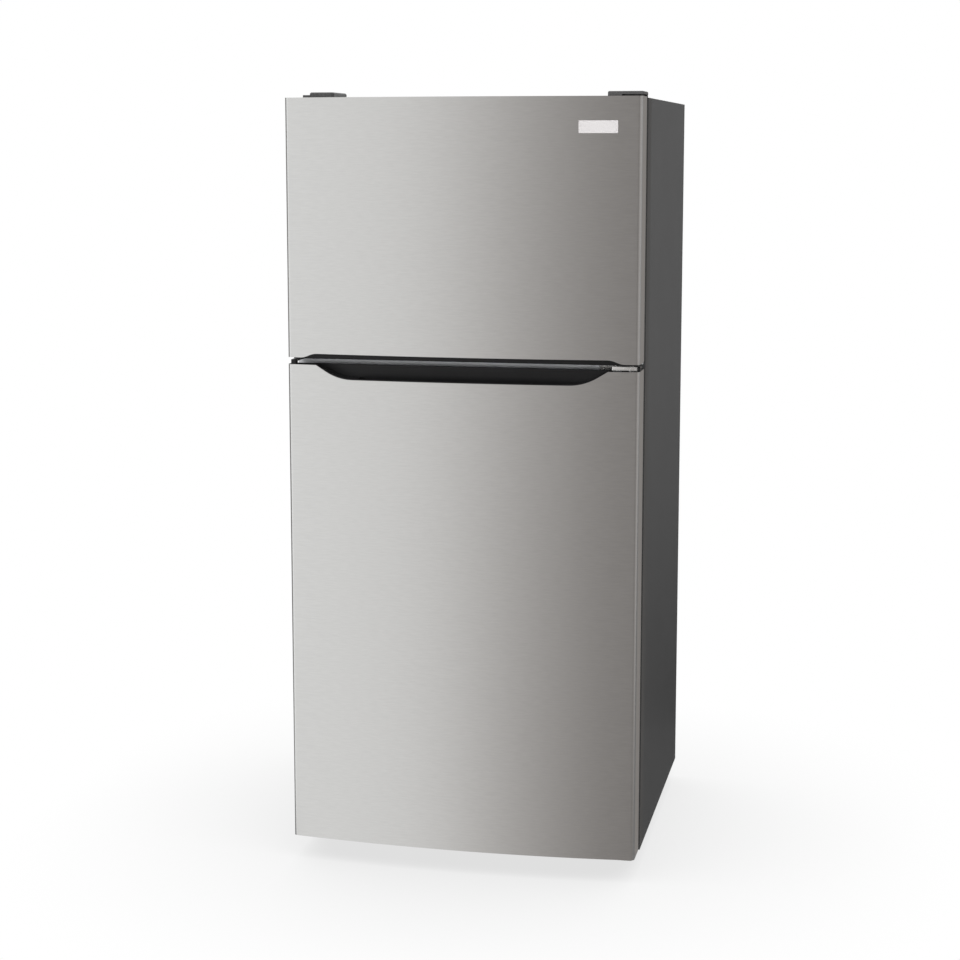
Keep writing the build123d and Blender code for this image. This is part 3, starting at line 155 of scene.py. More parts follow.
# stops are where the two shades of a colour lie along the noise
CLOUD_STOPS = (0.35, 0.65)
CLOUD_DETAIL = 4.0
GRAIN_POLISH = 0.15
STREAK_STOPS = (0.25, 0.75)
STREAK_DETAIL = 2.0
STREAK_POLISH = 0.1
HAIRS_PER_STREAK = 6
HAIR_DETAIL = 1.0
HAIR_DEPTH = 0.00005
CLEAR_STOPS = (0.3, 0.7)
CLEAR_SPREAD = 0.02
CLEAR_POLISH = 0.2


def grained(name, colour, rough, grain, spread=0.08, bump=0.15, depth=0.0002, cloud=9.0, **sockets):
    """A surface with a fine grain, soft cloudy colour variation and uneven gloss."""
    made, tree, shader = new_material(name)
    fine = stretched_noise(tree, (grain,) * 3)
    clouds = stretched_noise(tree, (cloud,) * 3, CLOUD_DETAIL)
    tinted(tree, clouds, shader, colour, spread, CLOUD_STOPS)
    polished(tree, fine, shader, rough, GRAIN_POLISH)
    bumped(tree, fine, shader, bump, depth)
    for socket, value in sockets.items():
        shader.inputs[socket.replace("_", " ")].default_value = value
    return made


def brushed(name, colour, rough, streak, anisotropy=0.7, turn=0.25, spread=0.05, bump=0.06, metallic=1.0):
    """Metal brushed along x: long fine streaks and a highlight drawn out across them."""
    made, tree, shader = new_material(name)
    shader.inputs["Metallic"].default_value = metallic
    shader.inputs["Anisotropic"].default_value = anisotropy
    shader.inputs["Anisotropic Rotation"].default_value = turn
    streaks = stretched_noise(tree, streak, STREAK_DETAIL)
    hairs = stretched_noise(tree, tuple(HAIRS_PER_STREAK * s for s in streak), HAIR_DETAIL)
    tinted(tree, streaks, shader, colour, spread, STREAK_STOPS)
    polished(tree, streaks, shader, rough, STREAK_POLISH)
    bumped(tree, hairs, shader, bump, HAIR_DEPTH)
    return made


def clear(name, colour, rough, index, wave):
    """Clear glass or plastic with slightly uneven polish."""
    made, tree, shader = new_material(name)
    shader.inputs["Transmission Weight"].default_value = 1.0
    shader.inputs["IOR"].default_value = index
    waves = stretched_noise(tree, (wave,) * 3)
    tinted(tree, waves, shader, colour, CLEAR_SPREAD, CLEAR_STOPS)
    polished(tree, waves, shader, rough, CLEAR_POLISH)
    return made


MATERIALS = {
    "door_steel": brushed("door_steel", (0.628, 0.627, 0.616), 0.32, (45.0, 45.0, 420.0), spread=0.035),
    "cabinet_paint": grained(
        "cabinet_paint", (0.068, 0.068, 0.068), 0.5, 900.0, spread=0.03, bump=0.35, depth=0.0003,
        Specular_IOR_Level=0.25,
    ),
    "back_paint": grained("back_paint", (0.2, 0.2, 0.2), 0.45, 500.0, spread=0.025, Metallic=0.3),
    "frame_paint": grained("frame_paint", (0.66, 0.67, 0.69), 0.4, 700.0, spread=0.03, Metallic=0.3),
    "foam": grained("foam", (0.75, 0.66, 0.42), 0.9, 350.0, bump=0.6, depth=0.0006),
    "liner_plastic": grained("liner_plastic", (0.78, 0.79, 0.79), 0.35, 500.0, spread=0.015, bump=0.08),
    "hinge_steel": brushed(
        "hinge_steel", (0.84, 0.84, 0.83), 0.24, (60.0, 60.0, 300.0), anisotropy=0.2, metallic=0.88,
    ),
    # near black for the top hinge: partly paint, partly painted shade in the slot under the hinge cover
    "hinge_paint_and_shade": grained("hinge_paint_and_shade", (0.015, 0.015, 0.015), 0.4, 500.0, bump=0.1),
    "cover_plastic": grained("cover_plastic", (0.08, 0.08, 0.08), 0.42, 1200.0, bump=0.3),
    "cap_plastic": grained(
        "cap_plastic", (0.012, 0.012, 0.0125), 0.24, 900.0, bump=0.05, Specular_IOR_Level=0.2,
    ),
    "compressor_paint": grained("compressor_paint", (0.012, 0.012, 0.012), 0.3, 300.0, bump=0.1),
    "rubber": grained("rubber", (0.02, 0.02, 0.02), 0.8, 700.0, bump=0.3),
    "copper": brushed(
        "copper", (0.68, 0.33, 0.19), 0.3, (120.0, 120.0, 120.0), anisotropy=0.0, spread=0.15,
    ),
    "coil_aluminium": brushed(
        "coil_aluminium", (0.72, 0.73, 0.74), 0.35, (90.0, 90.0, 90.0), anisotropy=0.0,
    ),
    "motor_plastic": grained("motor_plastic", (0.03, 0.03, 0.031), 0.5, 800.0, bump=0.25),
    "rack_wire": grained("rack_wire", (0.8, 0.8, 0.79), 0.35, 600.0, spread=0.02, bump=0.1),
    "lens_plastic": grained(
        "lens_plastic", (0.86, 0.86, 0.83), 0.25, 300.0, spread=0.02, Subsurface_Weight=0.2,
    ),
    "shelf_glass": clear("shelf_glass", (0.92, 0.97, 0.95), 0.02, 1.5, 5.0),
    "gasket_rubber": grained("gasket_rubber", (0.4, 0.394, 0.388), 0.6, 800.0, bump=0.2),
    "bin_plastic": clear("bin_plastic", (0.93, 0.96, 0.97), 0.08, 1.3, 12.0),
    "frosted_plastic": grained(
        "frosted_plastic", (0.84, 0.87, 0.88), 0.4, 300.0, spread=0.02, bump=0.1,
        Transmission_Weight=0.55, IOR=1.35,
    ),
    "badge_metal": grained("badge_metal", (0.68, 0.66, 0.66), 0.3, 900.0, spread=0.03, Metallic=0.15),
    "dial_plastic": grained("dial_plastic", (0.62, 0.63, 0.64), 0.35, 600.0, spread=0.02, bump=0.1),
}

# the top hinge is near black, unlike the plated hinges below it: partly its own paint, partly painted
# shade for the slot under its cover
SHADE_DARKENED = {"top_hinge_bracket": "hinge_paint_and_shade"}

for name, node in frame["nodes"].items():
    node.data.materials.clear()
    node.data.materials.append(MATERIALS[SHADE_DARKENED.get(name, SLOT_OF[name])])


# mesh helpers

SHARP = math.radians(35)


def new_object(name, mesh):
    """Links a mesh to the scene under a name."""
    made = bpy.data.objects.new(name, mesh)
    bpy.context.scene.collection.objects.link(made)
    return made


def flat_object(name, corners, faces):
    """An object of flat faces, given by the numbers of their corners."""
    mesh = bpy.data.meshes.new(name)
    mesh.from_pydata(corners, [], faces)
    return new_object(name, mesh)


def build(name, body, slot, fill, material=None, replaced=()):
    """A piece that rides on a body; fill draws it, in millimetres, into an empty mesh."""
    shape = bmesh.new()
    fill(shape)
    bmesh.ops.recalc_face_normals(shape, faces=shape.faces)
    bmesh.ops.scale(shape, vec=(MM, MM, MM), verts=shape.verts)
    mesh = bpy.data.meshes.new(name)
    shape.to_mesh(mesh)
    shape.free()
    mesh.polygons.foreach_set("use_smooth", [True] * len(mesh.polygons))
    mesh.set_sharp_from_angle(angle=SHARP)
    mesh.materials.append(material or MATERIALS[slot])
    made = new_object(name, mesh)
    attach(made, body)
    if replaced:
        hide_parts(*replaced)


def node_box(name):
    """A node's lowest and highest corners in millimetres."""
    return [[c / MM for c in corner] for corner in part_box(name)]


def upward(a, b, height):
    """Place in a plan drawn along x and y."""
    return (a, b, height)


def rearward(a, b, height):
    """Place in a front view drawn along x and z, with the height along y."""
    return (a, height, b)


def sideways(a, b, height):
    """Place in a side view drawn along y and z, with the height along x."""
    return (height, a, b)


def lifted(rows, base, further=0.0):
    """Rows that start with an inset and a height, moved up to a base and further in."""
    return [(further + inset, base + height, *rest) for inset, height, *rest in rows]


def skin(shape, rows, capped=True):
    """Joins closed loops of points into one closed surface."""
    loops = [[shape.verts.new(point) for point in row] for row in rows]
    if capped:
        shape.faces.new(loops[0])
        shape.faces.new(loops[-1])
    else:
        loops.append(loops[0])
    for one, two in zip(loops, loops[1:]):
        for k, point in enumerate(one):
            after = (k + 1) % len(one)
            shape.faces.new((point, one[after], two[after], two[k]))


def rounded_loop(low, high, inset, radius, steps):
    """A rectangle with rounded corners, drawn in from its limits by an inset."""
    edge = inset + radius
    centres = (
        (high[0] - edge, high[1] - edge),
        (low[0] + edge, high[1] - edge),
        (low[0] + edge, low[1] + edge),
        (high[0] - edge, low[1] + edge),
    )
    points = []
    for quarter, (a, b) in enumerate(centres):
        for step in range(steps + 1):
            angle = (quarter + step / steps) * math.pi / 2
            points.append((a + radius * math.cos(angle), b + radius * math.sin(angle)))
    return points


def stack(shape, low, high, rows, place, steps=5):
    """A body through rounded rectangles, given as (inset, height, corner radius)."""
    skin(shape, [
        [place(a, b, height) for a, b in rounded_loop(low, high, inset, radius, steps)]
        for inset, height, radius in rows
    ])


def turned(shape, centre, axis, profile, sides=32, capped=True):
    """A turned body through (radius, distance along the axis) points."""
    aim = Vector(axis).to_track_quat("Z", "Y")
    skin(shape, [
        [
            Vector(centre) + aim @ Vector((radius * math.cos(angle), radius * math.sin(angle), along))
            for angle in (2 * math.pi * k / sides for k in range(sides))
        ]
        for radius, along in profile
    ], capped)


def carried(shape, low, high, profile, place):
    """A closed profile of (inset, height) points carried round a rectangle with mitred corners."""
    rows = []
    for right, top in ((0, 0), (1, 0), (1, 1), (0, 1)):
        row = []
        for inset, height in profile:
            a = high[0] - inset if right else low[0] + inset
            b = high[1] - inset if top else low[1] + inset
            row.append(place(a, b, height))
        rows.append(row)
    skin(shape, rows, capped=False)


# door seals: a folded bellows with a magnet strip along its lip

SEAL_PROFILE = [
    (4.0, 0.0), (18.0, 0.0), (19.2, 1.2), (21.3, 3.0), (21.6, 4.4), (19.4, 5.8), (18.9, 7.0), (20.8, 8.4),
    (22.0, 10.0), (22.0, 13.6), (21.2, 15.0), (19.4, 15.6), (2.6, 15.6), (0.8, 15.0), (0.0, 13.6),
    (0.0, 11.2), (1.2, 9.2), (3.6, 8.0), (5.4, 7.0), (4.9, 5.8), (2.2, 4.4), (1.8, 3.0), (3.0, 1.2),
]


def make_seal(door):
    """The seal round a door's inner face."""
    low, high = node_box(f"{door}_gasket")

    def fill(shape):
        profile = lifted(SEAL_PROFILE, low[1])
        carried(shape, (low[0], low[2]), (high[0], high[2]), profile, rearward)

    build(f"{door}_seal", f"{door}_door", "gasket_rubber", fill, replaced=[f"{door}_gasket"])


# door linings: a moulded sheet with a raised border and two ribs that carry the bins

SHEET_DEPTH = 2.0
SHEET_RADIUS = 1.0
SHEET_ROWS = [(0, -0.4, 1.0), (0.4, 0, 1.0)]
BORDER_PROFILE = [(0, -1), (0.6, 5), (2.5, 8.5), (6, 10), (22, 10), (26, 8.5), (29, 5), (31, -1)]
BORDER_INSET = 24.0
RIB_X = (272.0, 300.0)
RIB_DEPTH = 83.0
RIB_RADIUS = 5.0
RIB_ROWS = [(1.0, -30, 6), (1.6, -7, 7), (3.5, -2, 6), (7, 0, 4)]
PAD_RADIUS = 6.0
PAD_ROWS = [(0.5, -3, 6), (1.4, -0.8, 6), (3, 0, 5)]


def make_lining(door, rib_z, pad=None):
    """The inside of a door, with a pad for the light switch if it has one."""
    low, high = node_box(f"{door}_door_liner")
    seal_low, seal_high = node_box(f"{door}_gasket")
    face = low[1] + SHEET_DEPTH

    def rise(radius, rows, tip):
        """Rows from the sheet's outer side up to a tip."""
        return [(0, low[1], radius)] + lifted(rows, tip)

    def fill(shape):
        sheet = rise(SHEET_RADIUS, SHEET_ROWS, face)
        stack(shape, (low[0], low[2]), (high[0], high[2]), sheet, rearward)
        inner = [c + BORDER_INSET for c in (seal_low[0], seal_low[2])]
        outer = [c - BORDER_INSET for c in (seal_high[0], seal_high[2])]
        carried(shape, inner, outer, lifted(BORDER_PROFILE, face), rearward)
        rib = rise(RIB_RADIUS, RIB_ROWS, face + RIB_DEPTH)
        for x in (RIB_X, [-c for c in reversed(RIB_X)]):
            stack(shape, (x[0], rib_z[0]), (x[1], rib_z[1]), rib, rearward)
        if pad:
            pad_low, pad_high, tip = pad
            stack(shape, pad_low, pad_high, rise(PAD_RADIUS, PAD_ROWS, tip), rearward)

    build(f"{door}_lining", f"{door}_door", "liner_plastic", fill, replaced=[f"{door}_door_liner"])


# clear bins and drawers

TRAY_FOOT = [(9, 0, 8), (4.5, 1, 11), (2.8, 4, 12)]
TRAY_RIM = [(1.2, -9, 12), (0, -7.6, 12), (0, -1.4, 12), (0.9, -0.2, 12)]
TRAY_RIM_INSIDE = [(0.2, -0.2, 10), (1.2, -1.6, 9), (1.4, -9, 9)]
TRAY_FLOOR = [(3, 4, 9), (5, 1.2, 8), (9, 0, 6)]


def tray_rows(low, high, wall):
    """Outside and inside of an open tray with a beaded rim."""
    outside = lifted(TRAY_FOOT, low) + lifted(TRAY_RIM, high)
    return outside + lifted(TRAY_RIM_INSIDE, high, wall) + lifted(TRAY_FLOOR, low + wall, wall)


BIN_WALL = 3.0


def make_bins(door, levels, height):
    """The open bins between a door's ribs."""
    low, high = node_box(f"{door}_door_bins")

    def fill(shape):
        for level in levels:
            stack(shape, low[:2], high[:2], tray_rows(level, level + height, BIN_WALL), upward)

    build(f"{door}_bins", f"{door}_door", "bin_plastic", fill, replaced=[f"{door}_door_bins"])


DAIRY_TOP = 855.0
LUG_W = 8.0
LUG_DROP = 30.0
LUG_REACH = 7.0
LUG_RADIUS = 6.0
LUG_EDGE = 0.8
PIVOT = (-285.0, 880.0)
PIN_PROFILE = [(3.0, -1.0), (3.0, 7.4), (2.4, LUG_W)]


def make_dairy_tray():
    """The dairy bin with the two lugs that carry its flap."""
    low, high = node_box("dairy_bin")

    def fill(shape):
        stack(shape, low[:2], high[:2], tray_rows(low[2], DAIRY_TOP, BIN_WALL), upward)
        lug_low = (low[1], DAIRY_TOP - LUG_DROP)
        lug_high = (PIVOT[0] + LUG_REACH, high[2])
        for sign in (-1, 1):
            lug = [
                (inset, sign * (high[0] - depth), LUG_RADIUS)
                for inset, depth in ((LUG_EDGE, 0), (0, LUG_EDGE), (0, LUG_W))
            ]
            stack(shape, lug_low, lug_high, lug, sideways)
            turned(shape, (sign * (high[0] - LUG_W), *PIVOT), (-sign, 0, 0), PIN_PROFILE)

    build("dairy_tray", "fridge_door", "bin_plastic", fill, replaced=["dairy_bin"])


DRAWER_WALL = 2.5
FRONT_DEPTH = 8.0
FRONT_ROWS = [(4, 0, 8), (1, 1, 10), (0, 3, 10), (0, FRONT_DEPTH, 10)]
PULL_DEPTH = 12.0
PULL_INSET = 40.0
PULL_SUNK = 3.0
PULL_ROWS = [(2, -10, 3), (0, -8, 5), (0, -2.5, 5), (1, -0.8, 5), (2.6, 0, 3)]


def make_drawer(side):
    """A crisper drawer: a clear tray behind a frosted front with its pull."""
    node = f"{side}_crisper"
    low, high = node_box(node)
    panel = low[1] + PULL_DEPTH

    def fill_tray(shape):
        rows = tray_rows(low[2], high[2], DRAWER_WALL)
        stack(shape, (low[0], panel + FRONT_DEPTH), high[:2], rows, upward)

    def fill_front(shape):
        stack(shape, (low[0], low[2]), (high[0], high[2]), lifted(FRONT_ROWS, panel), rearward)
        pull_low = (low[0] + PULL_INSET, low[1])
        pull_high = (high[0] - PULL_INSET, panel + PULL_SUNK)
        stack(shape, pull_low, pull_high, lifted(PULL_ROWS, high[2]), upward)

    build(f"{side}_drawer", node, "bin_plastic", fill_tray, replaced=[node])
    build(f"{side}_drawer_front", node, "bin_plastic", fill_front, MATERIALS["frosted_plastic"])


# shelf rims with rounded edges and a seat for the glass

RIM_PROFILE = [
    (0, 2.2), (0, 9.8), (0.7, 11.4), (2.2, 12), (9.4, 12), (10, 11.5), (10, 8), (20, 8), (20, 1), (19, 0),
    (2.2, 0), (0.7, 0.6),
]


def make_rims(name, node, levels):
    """The moulded rims of glass shelves."""
    low, high = node_box(node)

    def fill(shape):
        for level in levels:
            carried(shape, low[:2], high[:2], lifted(RIM_PROFILE, level), upward)

    build(name, "cabinet", "liner_plastic", fill, replaced=[node])


# controls: raised marks and figures round the dials

DIAL_STEPS = 7
DIAL_SWEEP = 270.0
MARK_RADII = (19.6, 21.6)
MARK_HALF = 0.45
MARK_RISE = 0.3
FIGURE_RADIUS = 23.4
FIGURE_SIZE = 3.6


def add_figure(shape, figure, place):
    """Draws a raised figure that faces the front."""
    text = bpy.data.curves.new("figure", "FONT")
    text.body = figure
    text.size = FIGURE_SIZE
    text.extrude = MARK_RISE
    text.align_x = text.align_y = "CENTER"
    holder = bpy.data.objects.new("figure", text)
    mesh = bpy.data.meshes.new_from_object(holder)
    mesh.transform(Matrix.Translation(place) @ Matrix.Rotation(math.pi / 2, 4, "X"))
    shape.from_mesh(mesh)
    bpy.data.objects.remove(holder)
    bpy.data.curves.remove(text)
    bpy.data.meshes.remove(mesh)


def make_scale(dial):
    """The marks and figures round a dial, on the control housing."""
    low, high = node_box(dial)
    face = node_box("control_housing")[0][1]
    centre = Vector(((low[0] + high[0]) / 2, face, (low[2] + high[2]) / 2))

    def fill(shape):
        for step in range(DIAL_STEPS):
            angle = math.radians(DIAL_SWEEP * (step / (DIAL_STEPS - 1) - 0.5))
            out = Vector((math.sin(angle), 0, math.cos(angle)))
            across = Vector((out.z, 0, -out.x)) * MARK_HALF
            near, far = (centre + out * radius for radius in MARK_RADII)
            outline = [near - across, far - across, far + across, near + across]
            skin(shape, [outline, [point - Vector((0, MARK_RISE, 0)) for point in outline]])
            add_figure(shape, str(step + 1), centre + out * FIGURE_RADIUS)

    build(f"{dial}_scale", "cabinet", "cap_plastic", fill)


# ring of the fan grille in the freezer

GRILLE_PROFILE = [(51, -0.5), (51, 1.6), (52, 2.6), (58, 2.6), (60, 1.4), (60, -0.5)]
GRILLE_Z = 1450.0
GRILLE_SIDES = 48


def make_grille_ring():
    """The raised ring round the fan grille in the freezer."""
    face = node_box("evaporator_cover")[0][1]

    def fill(shape):
        turned(shape, (0, face, GRILLE_Z), (0, -1, 0), GRILLE_PROFILE, GRILLE_SIDES, capped=False)

    build("fan_grille_ring", "cabinet", "liner_plastic", fill)


# back: folded edges of the shell, pressed beads, the seam strip and the screws

HEM_RISE = 1.0
HEM_PROFILE = [(0.2, -0.6), (0.2, 0.5), (0.8, HEM_RISE), (13.4, HEM_RISE), (14, 0.6), (14, -0.6)]
BEADS_X = (-255.0, -85.0, 85.0, 255.0)
BEAD_HALF = 16.0
BEAD_Z = (400.0, 1540.0)
BEAD_ROWS = [(0, -0.6, 16), (1.5, 0.8, 14.5), (4, 2.0, 12), (8, 2.6, 8)]
SEAM_Z = (291.0, 309.0)
SEAM_HALF = 366.0
SEAM_ROWS = [(0, -0.6, 1.5), (0, 0.7, 1.5), (0.5, HEM_RISE, 1.2)]
SCREW_WASHER = [(6.2, -0.5), (6.2, 0.6), (5.5, 1.2)]
SCREW_HEX = [(4.6, 0.8), (4.6, 4.0), (3.8, 4.7)]
SCREW_INSET = 7.0
SEAM_SCREWS_X = (-345.0, -210.0, -70.0, 70.0, 210.0, 345.0)
SIDE_SCREWS_Z = (70.0, 190.0, 450.0, 850.0, 1250.0, 1610.0)
TOP_SCREWS_X = (-190.0, 0.0, 190.0)


def make_back():
    """The sheet metal details of the back."""
    low, high = node_box("right_side_panel")
    rear, half = high[1], high[0]

    def fill(shape):
        carried(shape, (-half, low[2]), (half, high[2]), lifted(HEM_PROFILE, rear), rearward)
        bead = lifted(BEAD_ROWS, rear)
        for x in BEADS_X:
            stack(shape, (x - BEAD_HALF, BEAD_Z[0]), (x + BEAD_HALF, BEAD_Z[1]), bead, rearward)
        seam = lifted(SEAM_ROWS, rear)
        stack(shape, (-SEAM_HALF, SEAM_Z[0]), (SEAM_HALF, SEAM_Z[1]), seam, rearward)

    build("back_trim", "cabinet", "back_paint", fill)

    def fill_screws(shape):
        places = [(x, sum(SEAM_Z) / 2) for x in SEAM_SCREWS_X]
        places += [(sign * (half - SCREW_INSET), z) for sign in (-1, 1) for z in SIDE_SCREWS_Z]
        places += [(x, high[2] - SCREW_INSET) for x in TOP_SCREWS_X]
        for x, z in places:
            seat = (x, rear + HEM_RISE, z)
            turned(shape, seat, (0, 1, 0), SCREW_WASHER)
            turned(shape, seat, (0, 1, 0), SCREW_HEX, HEX_SIDES)

    build("back_screws", "cabinet", "hinge_steel", fill_screws)


# levelling feet

FOOT_PAD = [(0.5, 0), (16.6, 0), (18, 1.2), (18, 6.4), (16.8, 8.4), (13.6, 10.2)]
FOOT_NUT = [(12.2, 9.6), (13, 10.4), (13, 18.2), (12, 19)]
THREAD_Z = (18.0, 62.0)
THREAD_PITCH = 1.75
THREAD_RADII = (4.3, 5.0)


def make_foot(side):
    """A levelling foot: pad, nut and threaded stem."""
    node = f"{side}_levelling_foot"
    low, high = node_box(node)
    centre = ((low[0] + high[0]) / 2, (low[1] + high[1]) / 2, 0)
    turns = int((THREAD_Z[1] - THREAD_Z[0]) / THREAD_PITCH)
    stem = [(THREAD_RADII[k % 2], THREAD_Z[0] + k * THREAD_PITCH / 2) for k in range(2 * turns + 1)]

    def fill(shape):
        turned(shape, centre, (0, 0, 1), FOOT_PAD)
        turned(shape, centre, (0, 0, 1), FOOT_NUT, HEX_SIDES)
        turned(shape, centre, (0, 0, 1), stem)

    build(f"{side}_foot", node, "rubber", fill, replaced=[node])


# front of the centre hinge

HINGE_LIP_X = (320.0, 373.3)
HINGE_LIP_Y = (-351.6, -346.6)
HINGE_LIP_ROWS = [(0.5, 1103.9, 1.5), (0, 1104.4, 2.0), (0, 1111.9, 2.0), (0.5, 1112.4, 1.5)]
HINGE_TIP_X = (373.6, 379.6)
HINGE_TIP_Y = (-351.0, -336.0)
HINGE_TIP_ROWS = [(0.8, 1103.9, 2), (0, 1104.6, 2.8), (0, 1111.0, 2.8), (0.8, 1111.9, 2)]


def make_hinge_front():
    """The bright lip along the front of the centre hinge arm, and the black cap on its end."""

    def fill_lip(shape):
        low, high = zip(HINGE_LIP_X, HINGE_LIP_Y)
        stack(shape, low, high, HINGE_LIP_ROWS, upward)

    def fill_tip(shape):
        low, high = zip(HINGE_TIP_X, HINGE_TIP_Y)
        stack(shape, low, high, HINGE_TIP_ROWS, upward)

    build("hinge_lip", "cabinet", "hinge_steel", fill_lip)
    build("hinge_tip", "cabinet", "cap_plastic", fill_tip)


# levels of the bins, as their undersides and their height
FREEZER_BINS = ((1182.0, 1392.0), 85.0)
FRIDGE_BINS = ((340.0, 560.0), 105.0)
FREEZER_RIB_Z = (1172.0, 1600.0)
FRIDGE_RIB_Z = (322.0, 1044.0)
# lowest and highest corner in the front view, and the depth of the tip
SWITCH_PAD = ((-18.0, 1022.0), (18.0, 1058.0), -272.4)
SHELF_LEVELS = (560.0, 780.0)

make_seal("freezer")
make_seal("fridge")
make_lining("freezer", FREEZER_RIB_Z)
make_lining("fridge", FRIDGE_RIB_Z, SWITCH_PAD)
make_bins("freezer", *FREEZER_BINS)
make_bins("fridge", *FRIDGE_BINS)
make_dairy_tray()
make_drawer("left")
make_drawer("right")
make_rims("shelf_rims", "shelf_frames", SHELF_LEVELS)
make_rims("crisper_rim", "crisper_shelf_frame", [node_box("crisper_shelf_frame")[0][2]])
make_scale("fridge_dial")
make_scale("freezer_dial")
make_grille_ring()
make_back()
make_foot("left")
make_foot("right")
make_hinge_front()


# studio

AMBIENT = 0.55

FLOOR_HALF = 30.0
FLOOR_TONE = 0.85
FLOOR_ROUGH = 0.8
SHADOW_REACH = 0.7
SHADOW_SAMPLES = 16
# openness at and below which the floor's shadow is deepest, and its brightness there
SHADOW_CORE = 0.2
SHADOW_DEEPEST = 0.74

# the front reflection card curves round a point behind the doors
CARD_CENTRE = (0.275, 0.77, 0.0)
CARD_RADIUS = 3.2
CARD_HEIGHT = 4.5
CARD_FROM = -85
CARD_TO = 85
CARD_STEPS = 40
CARD_GAP = 0.006
# share of the radius, and height: along the floor and then up
CARD_SECTION = [(0.36, CARD_GAP), (1.0, CARD_GAP), (1.0, CARD_HEIGHT)]
# angle in degrees from straight ahead, positive to the right, and brightness
CARD_TONES = [
    (-60, 0.25), (-56, 1.2), (-44, 1.2), (-32, 1.0), (-25, 0.98), (-19, 0.93), (-15, 0.84), (-11.5, 0.71),
    (-7.5, 0.57), (-3, 0.44), (1.3, 0.335), (4.6, 0.29), (15, 0.25), (32, 0.35), (48, 0.5), (80, 0.5),
]
# share of red, green and blue that the darkest tones lose
CARD_WARMTH = (0.0, 0.08, 0.12)
FULL_TURN = 360
# value of a radial gradient straight ahead of the doors
AHEAD = 0.25

SIDE_CARD_X = (0.39, 4.0)
SIDE_CARD_Y = (-0.4, 0.8)
SIDE_CARD_FOOT = 2 * CARD_GAP
SIDE_CARD_TOP = 3.5
# share of the card's height, and brightness
SIDE_CARD_TONES = [
    (0.003, 0.24), (0.01, 0.1), (0.06, 0.15), (0.16, 0.27), (0.3, 0.38), (0.5, 0.45), (1.0, 0.47),
]

# a slim flag beside the cabinet, which the doors' right edge mirrors
FLAG_X = (0.385, 0.46)
FLAG_Y = -0.22
FLAG_TOP = 2.0
FLAG_TONE = (0.282, 0.264, 0.251)

# name, place, aim, width and height, power
SOFTBOXES = [
    ("key", (-2.8, -4.2, 3.6), (0, 0, 0.9), (2.6, 2.6), 90),
    ("fill", (3.6, -2.0, 2.6), (0, 0, 0.9), (2.4, 2.4), 30),
    ("front", (0.2, -4.6, 1.2), (0, 0, 1.1), (3.0, 0.8), 50),
]


def seen_directly(tree):
    """One for rays from the camera, from a mirror or through glass, and zero for other rays."""
    path = add(tree, "ShaderNodeLightPath")
    total = path.outputs["Is Camera Ray"]
    for other in ("Is Glossy Ray", "Is Transmission Ray"):
        highest = add(tree, "ShaderNodeMath", operation="MAXIMUM")
        tree.links.new(total, highest.inputs[0])
        tree.links.new(path.outputs[other], highest.inputs[1])
        total = highest.outputs[0]
    return total


def white_world():
    """Even ambient light, seen as a white background."""
    world = bpy.data.worlds.new("studio")
    world.use_nodes = True
    tree = world.node_tree
    background = tree.nodes["Background"]
    background.inputs["Color"].default_value = (1, 1, 1, 1)
    strength = spread_over(tree, seen_directly(tree), AMBIENT, 1.0)
    tree.links.new(strength, background.inputs["Strength"])
    bpy.context.scene.world = world


def floor_material():
    """Pale floor that shows white, with the object's soft shadow on it."""
    made, tree, shader = new_material("floor")
    shader.inputs["Base Color"].default_value = (FLOOR_TONE, FLOOR_TONE, FLOOR_TONE, 1)
    shader.inputs["Roughness"].default_value = FLOOR_ROUGH
    shadow = add(tree, "ShaderNodeAmbientOcclusion", samples=SHADOW_SAMPLES)
    shadow.inputs["Distance"].default_value = SHADOW_REACH
    light = spread_over(tree, shadow.outputs["AO"], SHADOW_DEEPEST, 1.0, SHADOW_CORE)
    glow = add(tree, "ShaderNodeEmission")
    tree.links.new(light, glow.inputs["Strength"])
    mix = add(tree, "ShaderNodeMixShader")
    tree.links.new(seen_directly(tree), mix.inputs["Fac"])
    tree.links.new(shader.outputs["BSDF"], mix.inputs[1])
    tree.links.new(glow.outputs["Emission"], mix.inputs[2])
    tree.links.new(mix.outputs["Shader"], tree.nodes["Material Output"].inputs["Surface"])
    return made


def make_floor():
    """The floor under the feet."""
    corners = [(x * FLOOR_HALF, y * FLOOR_HALF, 0) for x, y in ((-1, -1), (1, -1), (1, 1), (-1, 1))]
    floor = flat_object("floor", corners, [(0, 1, 2, 3)])
    floor.data.materials.append(floor_material())


def glowing(name):
    """A material that only glows, with its nodes and the glow's colour."""
    made, tree, shader = new_material(name)
    tree.nodes.remove(shader)
    glow = add(tree, "ShaderNodeEmission")
    tree.links.new(glow.outputs["Emission"], tree.nodes["Material Output"].inputs["Surface"])
    return made, tree, glow.inputs["Color"]


def turning_tone(name, tones):
    """A glow whose tone changes with the angle round the card's origin."""
    made, tree, colour = glowing(name)
    place = add(tree, "ShaderNodeTexCoord")
    turn = add(tree, "ShaderNodeTexGradient", gradient_type="RADIAL")
    tree.links.new(place.outputs["Object"], turn.inputs["Vector"])
    stops = [
        (AHEAD + angle / FULL_TURN, tuple(tone * (1 - (1 - tone) * loss) for loss in CARD_WARMTH))
        for angle, tone in tones
    ]
    tree.links.new(ramp(tree, turn.outputs["Fac"], stops), colour)
    return made


def rising_tone(name, tones):
    """A glow whose tone changes with the height above the floor."""
    made, tree, colour = glowing(name)
    place = add(tree, "ShaderNodeTexCoord")
    parts = add(tree, "ShaderNodeSeparateXYZ")
    tree.links.new(place.outputs["Object"], parts.inputs["Vector"])
    share = spread_over(tree, parts.outputs["Z"], 0.0, 1.0, stop=SIDE_CARD_TOP)
    stops = [(height, (tone,) * 3) for height, tone in tones]
    tree.links.new(ramp(tree, share, stops), colour)
    return made


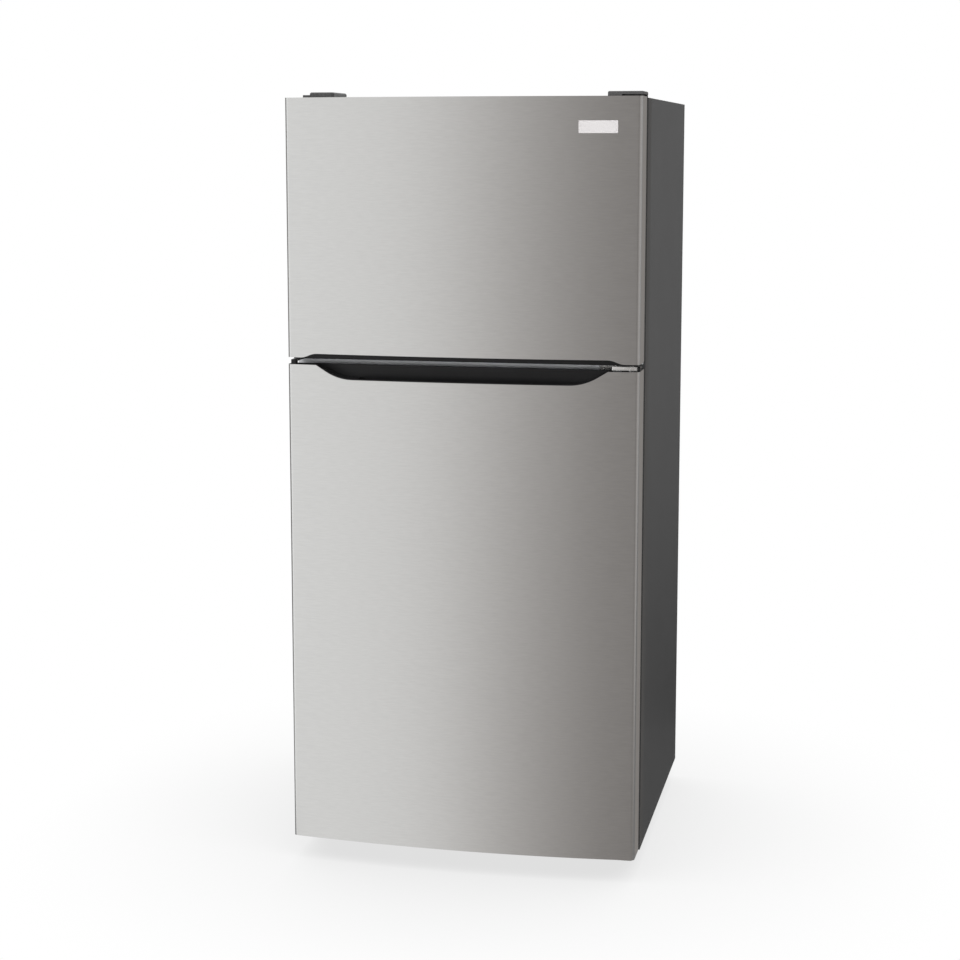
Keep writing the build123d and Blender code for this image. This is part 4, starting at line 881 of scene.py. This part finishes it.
def mirror_only(card, material):
    """Makes a card that only reflections see."""
    card.data.materials.append(material)
    card.visible_camera = False
    card.visible_diffuse = False
    card.visible_transmission = False
    card.visible_shadow = False


def make_front_card():
    """A curved reflection card in front of the doors."""
    corners = []
    for step in range(CARD_STEPS + 1):
        angle = math.radians(CARD_FROM + (CARD_TO - CARD_FROM) * step / CARD_STEPS)
        for share, height in CARD_SECTION:
            reach = CARD_RADIUS * share
            corners.append((reach * math.sin(angle), -reach * math.cos(angle), height))
    row = len(CARD_SECTION)
    faces = [
        (k, k + row, k + row + 1, k + 1)
        for start in range(0, CARD_STEPS * row, row)
        for k in range(start, start + row - 1)
    ]
    card = flat_object("front_card", corners, faces)
    card.location = CARD_CENTRE
    mirror_only(card, turning_tone("front_card", CARD_TONES))


def make_side_cards():
    """Dark reflection cards behind the cabinet and on the floor at each side, which its sides mirror."""
    front, back = SIDE_CARD_Y
    for sign, side in ((1, "right"), (-1, "left")):
        corners = [
            (sign * x, y, z)
            for y, z in ((front, SIDE_CARD_FOOT), (back, SIDE_CARD_FOOT), (back, SIDE_CARD_TOP))
            for x in SIDE_CARD_X
        ]
        card = flat_object(f"{side}_card", corners, [(0, 1, 3, 2), (2, 3, 5, 4)])
        mirror_only(card, rising_tone(f"{side}_card", SIDE_CARD_TONES))


def make_flag():
    """A slim grey flag close to the cabinet's right side."""
    corners = [(x, FLAG_Y, z) for z in (CARD_GAP, FLAG_TOP) for x in FLAG_X]
    flag = flat_object("edge_flag", corners, [(0, 1, 3, 2)])
    made, _, colour = glowing("edge_flag")
    colour.default_value = (*FLAG_TONE, 1.0)
    mirror_only(flag, made)


def softbox(name, place, aim, size, power):
    """A large soft lamp."""
    lamp = bpy.data.lights.new(name, "AREA")
    lamp.shape = "RECTANGLE"
    lamp.size, lamp.size_y = size
    lamp.energy = power
    made = bpy.data.objects.new(name, lamp)
    made.location = place
    made.rotation_euler = (Vector(aim) - Vector(place)).to_track_quat("-Z", "Y").to_euler()
    made.visible_glossy = False
    made.visible_camera = False
    bpy.context.scene.collection.objects.link(made)


def make_camera():
    """The camera at the photograph's viewing angle."""
    data = bpy.data.cameras.new("camera")
    data.lens = CAMERA_LENS
    data.sensor_width = CAMERA_SENSOR
    data.shift_y = CAMERA_SHIFT
    camera = bpy.data.objects.new("camera", data)
    camera.location = CAMERA_PLACE
    camera.rotation_euler = (math.pi / 2 - CAMERA_DIP, 0, CAMERA_YAW)
    bpy.context.scene.collection.objects.link(camera)
    bpy.context.scene.camera = camera


white_world()
make_floor()
make_front_card()
make_side_cards()
make_flag()
for box in SOFTBOXES:
    softbox(*box)
make_camera()
bpy.context.scene.view_settings.view_transform = "Standard"
